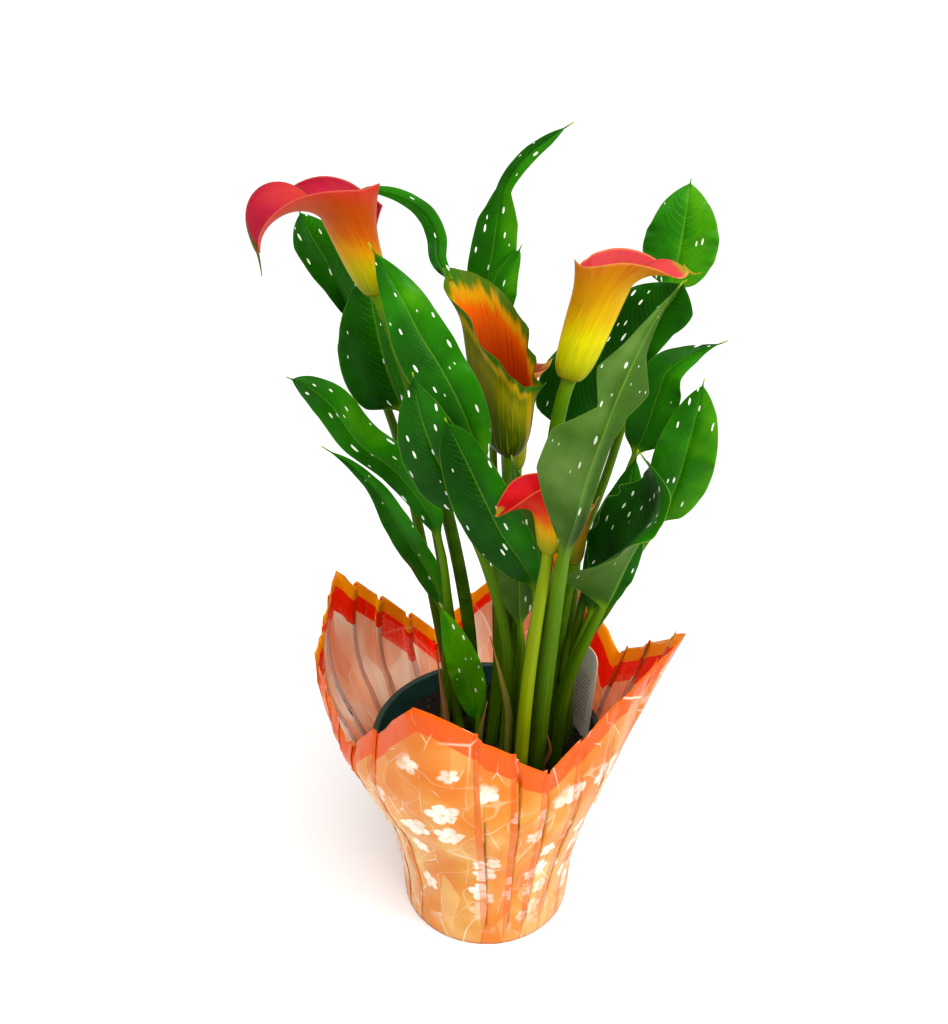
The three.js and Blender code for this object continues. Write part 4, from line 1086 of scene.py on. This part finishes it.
# Colours of each flower: outside from the base to the rim, inside from throat to rim,
# the tip, the margin, the threads and dark streaks outside, and how strong they are
SPATHE_COLOURS = {
    1: dict(outside=["#6E7E00", "#A09C00", "#BE8400", "#B25400", "#A84400", "#AC3C08", "#BC2E24"],
            inside=["#B04A14", "#B03424", "#A81C32", "#900C28"],
            tip="#3E5610", margin="#C8604C", thread="#A02C08", dark="#A83C10", streak=0.6),
    2: dict(outside=["#7C8600", "#B0B600", "#C8C400", "#C4A400", "#B88800", "#B87C00", "#BC6C08"],
            inside=["#C86414", "#C04A2C", "#B83A34", "#B0343A"],
            tip="#7E7A10", margin="#D88850", thread="#A02C08", dark="#A83C10", streak=0.45),
    3: dict(outside=["#243A00", "#2C4400", "#384C00", "#5A6000", "#747000", "#4C5E00", "#285000"],
            inside=["#A02800", "#BE3E00", "#CC5200", "#C85000"],
            tip="#2E5A10", margin="#2E5E08", thread="#8A8800", dark="#1E3400", streak=0.8),
    4: dict(outside=["#6A7800", "#8C8C00", "#B88C00", "#C05800", "#B82C08", "#B01408", "#AC0C14"],
            inside=["#D86C08", "#C82400", "#B80814", "#AC0418"],
            tip="#A89020", margin="#D87030", thread="#A02C08", dark="#981408", streak=0.5),
    5: dict(outside=["#6E8210", "#8C9410", "#B0A614", "#C8A818", "#C89428", "#C88838", "#C87844"],
            inside=["#C87028", "#C06028", "#B85430", "#B84C38"],
            tip="#B89830", margin="#C89858", thread="#A02C08", dark="#A83C10", streak=0.5),
    6: dict(outside=["#6E7E10", "#8A8C12", "#A89418", "#BE9020", "#BE8830", "#C49444", "#CCA058"],
            inside=["#D08028", "#C87028", "#C06028", "#B85428"],
            tip="#B8A030", margin="#D8B070", thread="#A02C08", dark="#A83C10", streak=0.5),
}
RAGGED_FLOWER = 3


def spathe_material(number):
    look = SPATHE_COLOURS[number]
    strength = look["streak"]
    paint = Paint(f"spathe_skin_{number}", Specular_IOR_Level=0.05, Subsurface_Weight=0.15,
                  Subsurface_Radius=(1.0, 0.5, 0.1), Subsurface_Scale=0.0015)
    turn, rise, inside_face, tip, edge = paint.attributes("turn", "rise", "inside", "tip", "edge")

    def grain(per_turn, per_rise, detail=2.0, roughness=0.5):
        place = paint.vector(turn * per_turn, rise * per_rise, float(number))
        return paint.noise(place, 1.0, detail, roughness)

    streaks, threads, cloud = grain(22.0, 1.6, 4.0, 0.6), grain(75.0, 2.5), grain(2.5, 2.5)
    level = rise + (streaks - 0.5) * (0.32 * strength) + (cloud - 0.5) * 0.2
    thread = paint.step(0.52, 0.64, threads, 0.0, strength * 0.7)
    dark = paint.step(0.5, 0.75, streaks, 0.0, strength * 0.5)

    def face(codes, start, thread_tint, dark_tint):
        span = (1 - start) / (len(codes) - 1)
        ramp = paint.ramp(level, *((start + span * k, code) for k, code in enumerate(codes)))
        return paint.layers(ramp, (thread, thread_tint), (dark, dark_tint))

    outside = face(look["outside"], 0.03, look["thread"], look["dark"])
    inside = face(look["inside"], 0.3, "#A02C08", "#9C1C08")
    base = paint.mix(paint.step(0.3, 0.7, inside_face), outside, inside)
    base = paint.mix(paint.step(0.78, 0.94, tip + (streaks - 0.5) * 0.3, 0.0, 0.9), base, look["tip"])
    if number == RAGGED_FLOWER:
        ragged = edge + (streaks - 0.5) * 0.24
        yellow = paint.step(0.78, 0.88, ragged) * paint.step(0.99, 0.91, ragged)
        margin = [(yellow * 0.75, "#B48E00"), (paint.step(0.88, 0.96, ragged, 0.0, 0.95), look["margin"])]
    else:
        margin = [(paint.step(0.975, 0.995, edge, 0.0, 0.5), look["margin"])]
    paint.bump(streaks, 0.25, 0.0005)
    return paint.finish(paint.layers(base, *margin), streaks * 0.15 + 0.34)


def scape_material():
    paint = Paint("scape_skin", Specular_IOR_Level=0.05)
    along, bright = paint.attributes("along", "bright")
    mottle = paint.noise(paint.place(), 40.0, 3.0)
    long_grain = paint.noise(paint.vector(along * 14.0, mottle), 3.0)
    green = paint.ramp(along + mottle * 0.3 - 0.15,
                       (0.0, "#244200"), (0.35, "#305400"), (0.8, "#3E6600"), (1.0, "#587C00"))
    paint.bump(mottle, 0.2, 0.0005)
    return paint.finish(paint.layers(green, (paint.step(0.45, 0.7, long_grain, 0.0, 0.3), "#527800"),
                                     (bright * 0.75, "#7C8C00")), 0.36)


def spadix_material():
    paint = Paint("spadix_skin", Specular_IOR_Level=0.3)
    speckle = paint.noise(paint.place(), 900.0)
    paint.bump(speckle, 0.4, 0.0004)
    return paint.finish(paint.ramp(speckle, (0.3, "#C87E10"), (0.55, "#E8B428"), (0.8, "#F4D060")), 0.75)


# The film's print, in mm of film: how far apart its blossoms are and how large, where the
# print starts and where it fades out under the edge, and the bands along the edge
BLOSSOM_SPACING = 24
BLOSSOM_RADII = (6, 11.5)
BLOSSOMS_FROM = 0.4
PRINT_FROM = (8, 30)
PRINT_FADE = (28, 40)
OUTER_BAND = 20
RED_BAND = (17, 39)
HEM = (10, 14)
# Crumples, large and small: cells to a mm across and up the film, and their ridges' width
CRUMPLES = ((0.022, 0.009, 0.014), (0.06, 0.02, 0.016))


def blossoms(paint, sheet):
    """Five-petalled blossoms, one in most cells of the sheet, and their hearts."""
    place = paint.vector_math("MULTIPLY", sheet, (1 / BLOSSOM_SPACING,) * 3)[0]
    _, middle, drawn = paint.cells(place, 0.65)
    local = paint.vector_math("SUBTRACT", place, middle)[0]
    radius = Number(paint, paint.vector_math("LENGTH", local)["Value"]) * BLOSSOM_SPACING
    split = paint.node("SeparateXYZ", {0: local}).outputs
    spin = drawn[2] * (2 * math.pi) + paint.math("ARCTAN2", split["Y"], split["X"])
    lobes = abs(paint.math("COSINE", spin * 2.5))
    rim = paint.step(0.0, 1.0, drawn[1], *BLOSSOM_RADII) * (paint.math("POWER", lobes, 0.6) * 0.45 + 0.55)
    petals = paint.step(1.2, -1.2, radius - rim) * paint.step(BLOSSOMS_FROM, BLOSSOMS_FROM + 0.001, drawn[0])
    return petals, petals * paint.step(2.0, 0.8, radius, 0.0, 0.6)


def film_print(paint, sheet, climb, from_edge):
    """The outer face before it is crumpled: blossoms and twigs on a cloudy orange."""
    printed = paint.step(*PRINT_FROM, climb) * paint.step(*PRINT_FADE, from_edge)
    twigs = paint.step(0.012, 0.004, abs(paint.noise(sheet, 0.03, 0.0) - 0.5))
    petals, hearts = blossoms(paint, sheet)
    place, = paint.attributes("place")
    flank = paint.step(1.3, 2.0, place) * paint.step(4.2, 3.4, place)
    return paint.layers(
        paint.ramp(paint.noise(sheet, 0.022), (0.32, "#CA7010"), (0.46, "#D0821E"), (0.56, "#D8963C"),
                   (0.68, "#E4B068")),
        (paint.step(110.0, 200.0, climb, 0.0, 0.35), "#D8602C"),
        (twigs * printed * 0.25, "#FCE4C4"),
        (petals * printed * 0.92, paint.ramp(paint.noise(sheet, 0.25), (0.35, "#F8DCC0"), (0.6, "#FFF6EC"))),
        (hearts * printed, "#F0B880"),
        (flank * paint.step(60.0, 150.0, climb, 0.0, 0.6), "#B8440C"),
        (paint.step(70.0, 20.0, climb, 0.0, 0.45), "#C4701C"))


def film_crumples(paint, sheet, around, climb):
    """Crumples: each cell is a facet that turns to or from the light and each edge a ridge.
    Layers of colour for the outer face and for the lining, glints on ridges, and the relief."""
    bend = paint.noise(sheet, 0.01, 0.0) * 1.2
    outer, inner, glints, relief = [], [], 0.0, 0.0
    for wide, tall, width in CRUMPLES:
        crumple = paint.vector(around * wide + bend, climb * tall)
        shade = paint.cells(crumple)[2][0]
        ridge = paint.cell_edges(crumple)
        outer += [(paint.step(0.4, 1.0, shade, 0.0, 0.4), "#D86C18"),
                  (paint.step(0.4, 0.0, shade, 0.0, 0.35), "#F0C080")]
        inner += [(paint.step(0.4, 1.0, shade, 0.0, 0.35), "#D87850"),
                  (paint.step(0.4, 0.0, shade, 0.0, 0.4), "#FFE4DA")]
        lit = paint.step(0.48, 0.68, paint.noise(sheet, wide, 1.0))
        glints = paint.math("MAXIMUM", paint.step(width, 0.0, ridge) * lit, glints)
        relief = ridge * (0.02 / wide) + relief
    return outer, inner, glints, relief


def film_material():
    paint = Paint("printed_film", Specular_IOR_Level=0.12, Subsurface_Weight=0.5,
                  Subsurface_Radius=(1.0, 0.4, 0.2), Subsurface_Scale=0.001)
    climb, around, from_edge = paint.attributes("climb", "around", "from_edge")
    double, inside, panel = paint.attributes("double", "inside", "panel")
    sheet = paint.vector(around, climb)
    outer, inner, glints, relief = film_crumples(paint, sheet, around, climb)
    outside = paint.layers(
        film_print(paint, sheet, climb, from_edge), *outer,
        (paint.step(OUTER_BAND + 0.5, OUTER_BAND - 0.5, from_edge, 0.0, 0.85), "#D84800"),
        (double * 0.5, "#CC4400"),
        (glints * 0.7, "#FFE8D2"),
        (paint.step(0.42, 0.1, abs(double - 0.5), 0.0, 0.6), "#B83400"))

    # Inside, the bands along the edge differ in height from panel to panel
    lot = paint.node("TexWhiteNoise", {"W": panel}, noise_dimensions="1D").outputs["Value"]
    bands = [(paint.step(0.5, -0.5, from_edge - Number(paint, lot) * (most - least) - least), tint)
             for (least, most), tint in ((RED_BAND, "#FF2000"), (HEM, "#FF9000"))]
    # Streaks run up the lining: the darker ones are its own tone, the palest near-white ones are painted
    # highlights.
    streaks = paint.noise(paint.vector(around * 0.08, climb * 0.015))
    lining = paint.layers(
        paint.ramp(streaks, (0.3, "#FF9E74"), (0.48, "#FFB494"), (0.6, "#FFCCB8"), (0.72, "#FFE6DC")),
        *inner, (glints * 0.7, "#FFEEE6"), *bands, (double * 0.35, "#F04000"), (glints * 0.3, "#FFD8C0"))
    paint.bump(relief, 0.6, 0.004)
    return paint.finish(paint.mix(paint.step(0.3, 0.7, inside), outside, lining), 0.22)


def pot_material():
    paint = Paint("pot_plastic_green", Specular_IOR_Level=0.45)
    smear = paint.noise(paint.place(), 40.0, 3.0)
    paint.bump(paint.noise(paint.place(), 500.0, 3.0), 0.12, 0.0004)
    return paint.finish(paint.ramp(smear, (0.3, "#14302A"), (0.6, "#1E4238"), (0.85, "#2F5248")),
                        smear * 0.25 + 0.3)


def soil_material():
    paint = Paint("potting_mix", Specular_IOR_Level=0.25)
    fleck, = paint.attributes("fleck")
    crumb = paint.noise(paint.place(), 420.0, 5.0, 0.7)
    paint.bump(crumb, 0.9, 0.0015)
    return paint.finish(paint.layers(
        paint.ramp(crumb, (0.35, "#0A0806"), (0.55, "#1A130D"), (0.75, "#33261A")),
        (paint.step(0.1, 0.4, fleck, 0.0, 0.4), "#4A3522"), (paint.step(0.7, 0.9, fleck), "#C9C2AE")), 0.85)


# Rows of grey marks on the tag, in mm of its card: their pitch and the field they fill
TEXT_PITCH = 3.4
TEXT_LEFT, TEXT_RIGHT = 5, 41
TEXT_LOW, TEXT_HIGH = 142, 184


def card_material():
    paint = Paint("tag_card_print", Specular_IOR_Level=0.45, Coat_Weight=0.2, Coat_Roughness=0.25)
    x, z = paint.attributes("card_x", "card_z")
    paper = paint.noise(paint.place(), 300.0, 3.0)
    row = z / TEXT_PITCH
    rows = paint.step(0.3, 0.26, paint.math("PINGPONG", row, 0.5))
    words = paint.noise(paint.vector(x * 0.9, paint.math("FLOOR", row)), 1.0, 0.0)
    field = (paint.step(TEXT_LOW, TEXT_LOW + 1, z) * paint.step(TEXT_HIGH, TEXT_HIGH - 1, z)
             * paint.step(TEXT_LEFT, TEXT_LEFT + 1, x) * paint.step(TEXT_RIGHT, TEXT_RIGHT - 1, x))
    marks = rows * paint.step(0.42, 0.46, words) * field
    card = paint.ramp(paper, (0.35, "#EDE4D2"), (0.65, "#F4ECDC"))
    paint.bump(paper, 0.08, 0.0003)
    return paint.finish(paint.mix(marks * 0.55, card, "#6E685C"), 0.42)


def sheath_material():
    paint = Paint("dry_sheath", Specular_IOR_Level=0.25)
    across, along, dryness = paint.attributes("across", "along", "tone")
    fibres = paint.noise(paint.vector(across * 7.0, along * 3.0, dryness), 1.0, 3.0)
    green = paint.ramp(along, (0.2, "#4A6414"), (0.7, "#6E6A1C"), (1.0, "#8A6A2C"))
    dry = paint.ramp(fibres, (0.3, "#5E3418"), (0.7, "#A8784A"))
    paint.bump(fibres, 0.5, 0.0006)
    return paint.finish(paint.mix(dryness, green, dry), 0.6)


# Pieces

leaf_skin = leaf_material()
scape_skin = scape_material()
spadix_skin = spadix_material()

film = make_piece("cover_film", *build_cover(), film_material(), "cover_film", ["pot_cover"])
make_piece("nursery_pot", *build_pot(), pot_material(), "pot_plastic", ["pot"])
make_piece("soil_bed", *build_soil(), soil_material(), "soil", ["soil"])
make_piece("tag_blank", *build_tag(), card_material(), "tag_card", ["plant_tag"])

for number, (leaf, tone) in enumerate(zip(LEAVES, LEAF_TONES), 1):
    name = f"leaf_{number:02d}"
    make_piece(f"{name}_blade", *build_leaf(leaf, tone), leaf_skin, "leaf", [name])

for flower in FLOWERS:
    number = flower["number"]
    for kind, build, material, detail in (("scape", build_scape, scape_skin, "stem"),
                                          ("spathe", build_spathe, spathe_material(number), "sheet"),
                                          ("spadix", build_spadix, spadix_skin, "beads")):
        make_piece(f"{kind}_{number}_{detail}", *build(flower), material, kind, [f"{kind}_{number}"])
    if "tail" in flower:
        make_piece(f"spathe_{number}_tail", *build_leaf(flower["tail"], 0.0), leaf_skin, "leaf")

# Dry and green sheaths round the stems' feet, built like small blades
SHEATHS = [
    dict(path=[[-27, 3, 112], [-28, 0, 152], [-30, -2, 180], [-34, -3, 219]], half_width=3.4, dry=0.8),
    dict(path=[[12, -37, 112], [13, -42, 160], [13, -45, 200], [8, -46, 230], [1, -45, 262]],
         half_width=3.6, dry=0.1),
    dict(path=[[-5, 6, 112], [-5, 2, 140], [0, 1, 172]], half_width=3, dry=0.1),
    dict(path=[[38, -24, 112], [37, -25, 133], [42, -26, 152], [36, -22, 176]], half_width=2.6, dry=1.0),
]
SHEATH_SHAPE = dict(blade=0, widest=0.3, petiole=[1, 1], face=[[0, 1, 0], [0, 1, 0.2]],
                    bend=[[20, 70], [10, 30]], wave=[0.3, 2, 0])
sheath_skin = sheath_material()

for number, sheath in enumerate(SHEATHS, 1):
    shape = {**SHEATH_SHAPE, **sheath}
    make_piece(f"sheath_{number}", *build_leaf(shape, sheath["dry"]), sheath_skin, "leaf")


# Camera, light and floor, in metres and watts

CAMERA_LENS = 44
CAMERA_SENSOR = 36
CAMERA_PLACE = (-0.009, -0.659, 0.728)
CAMERA_PITCH = 58.5
WORLD_STRENGTH = 0.45
SUN_STRENGTH = 2.3
SUN_WIDTH = 60
SUN_TILT = (25, 8)
# Each lamp's place, what it points at, its size and its power
LAMPS = {
    "key": ((-0.7, -0.9, 1.4), (0, 0, 0.3), 0.5, 7),
    "strip": ((0.9, -0.5, 1.0), (-0.1, 0, 0.2), 0.4, 11),
}
FLOOR_HALF = 6
FLOOR_LEVEL = -0.0004

camera_data = bpy.data.cameras.new("camera")
camera_data.lens = CAMERA_LENS
camera_data.sensor_width = CAMERA_SENSOR
camera = add_object("camera", camera_data)
camera.location = CAMERA_PLACE
camera.rotation_euler = (math.radians(CAMERA_PITCH), 0, 0)
bpy.context.scene.camera = camera

world = bpy.data.worlds.new("pale_studio")
world.use_nodes = True
background = world.node_tree.nodes["Background"]
background.inputs["Color"].default_value = (1, 1, 1, 1)
background.inputs["Strength"].default_value = WORLD_STRENGTH
bpy.context.scene.world = world
bpy.context.scene.view_settings.view_transform = "Standard"

sun_data = bpy.data.lights.new("overhead", "SUN")
sun_data.energy = SUN_STRENGTH
sun_data.angle = math.radians(SUN_WIDTH)
sun = add_object("overhead", sun_data)
sun.rotation_euler = (math.radians(SUN_TILT[0]), math.radians(SUN_TILT[1]), 0)

for name, (place, aim, size, power) in LAMPS.items():
    lamp_data = bpy.data.lights.new(name, "AREA")
    lamp_data.shape = "DISK"
    lamp_data.size = size
    lamp_data.energy = power
    lamp = add_object(name, lamp_data)
    lamp.location = place
    lamp.rotation_euler = (Vector(aim) - Vector(place)).to_track_quat("-Z", "Y").to_euler()

floor_paint = Paint("pale_floor")
floor_tone = floor_paint.noise(floor_paint.place(), 3.0)
floor_material = floor_paint.finish(floor_paint.ramp(floor_tone, (0.3, "#FAFAF9"), (0.7, "#FDFDFD")), 0.9)
floor_sides = ((-1, -1), (1, -1), (1, 1), (-1, 1))
floor_corners = [(x * FLOOR_HALF, y * FLOOR_HALF, FLOOR_LEVEL) for x, y in floor_sides]
floor_mesh = bpy.data.meshes.new("floor")
floor_mesh.from_pydata(floor_corners, [], [(0, 1, 2, 3)])
floor_mesh.materials.append(floor_material)
floor = add_object("floor", floor_mesh)
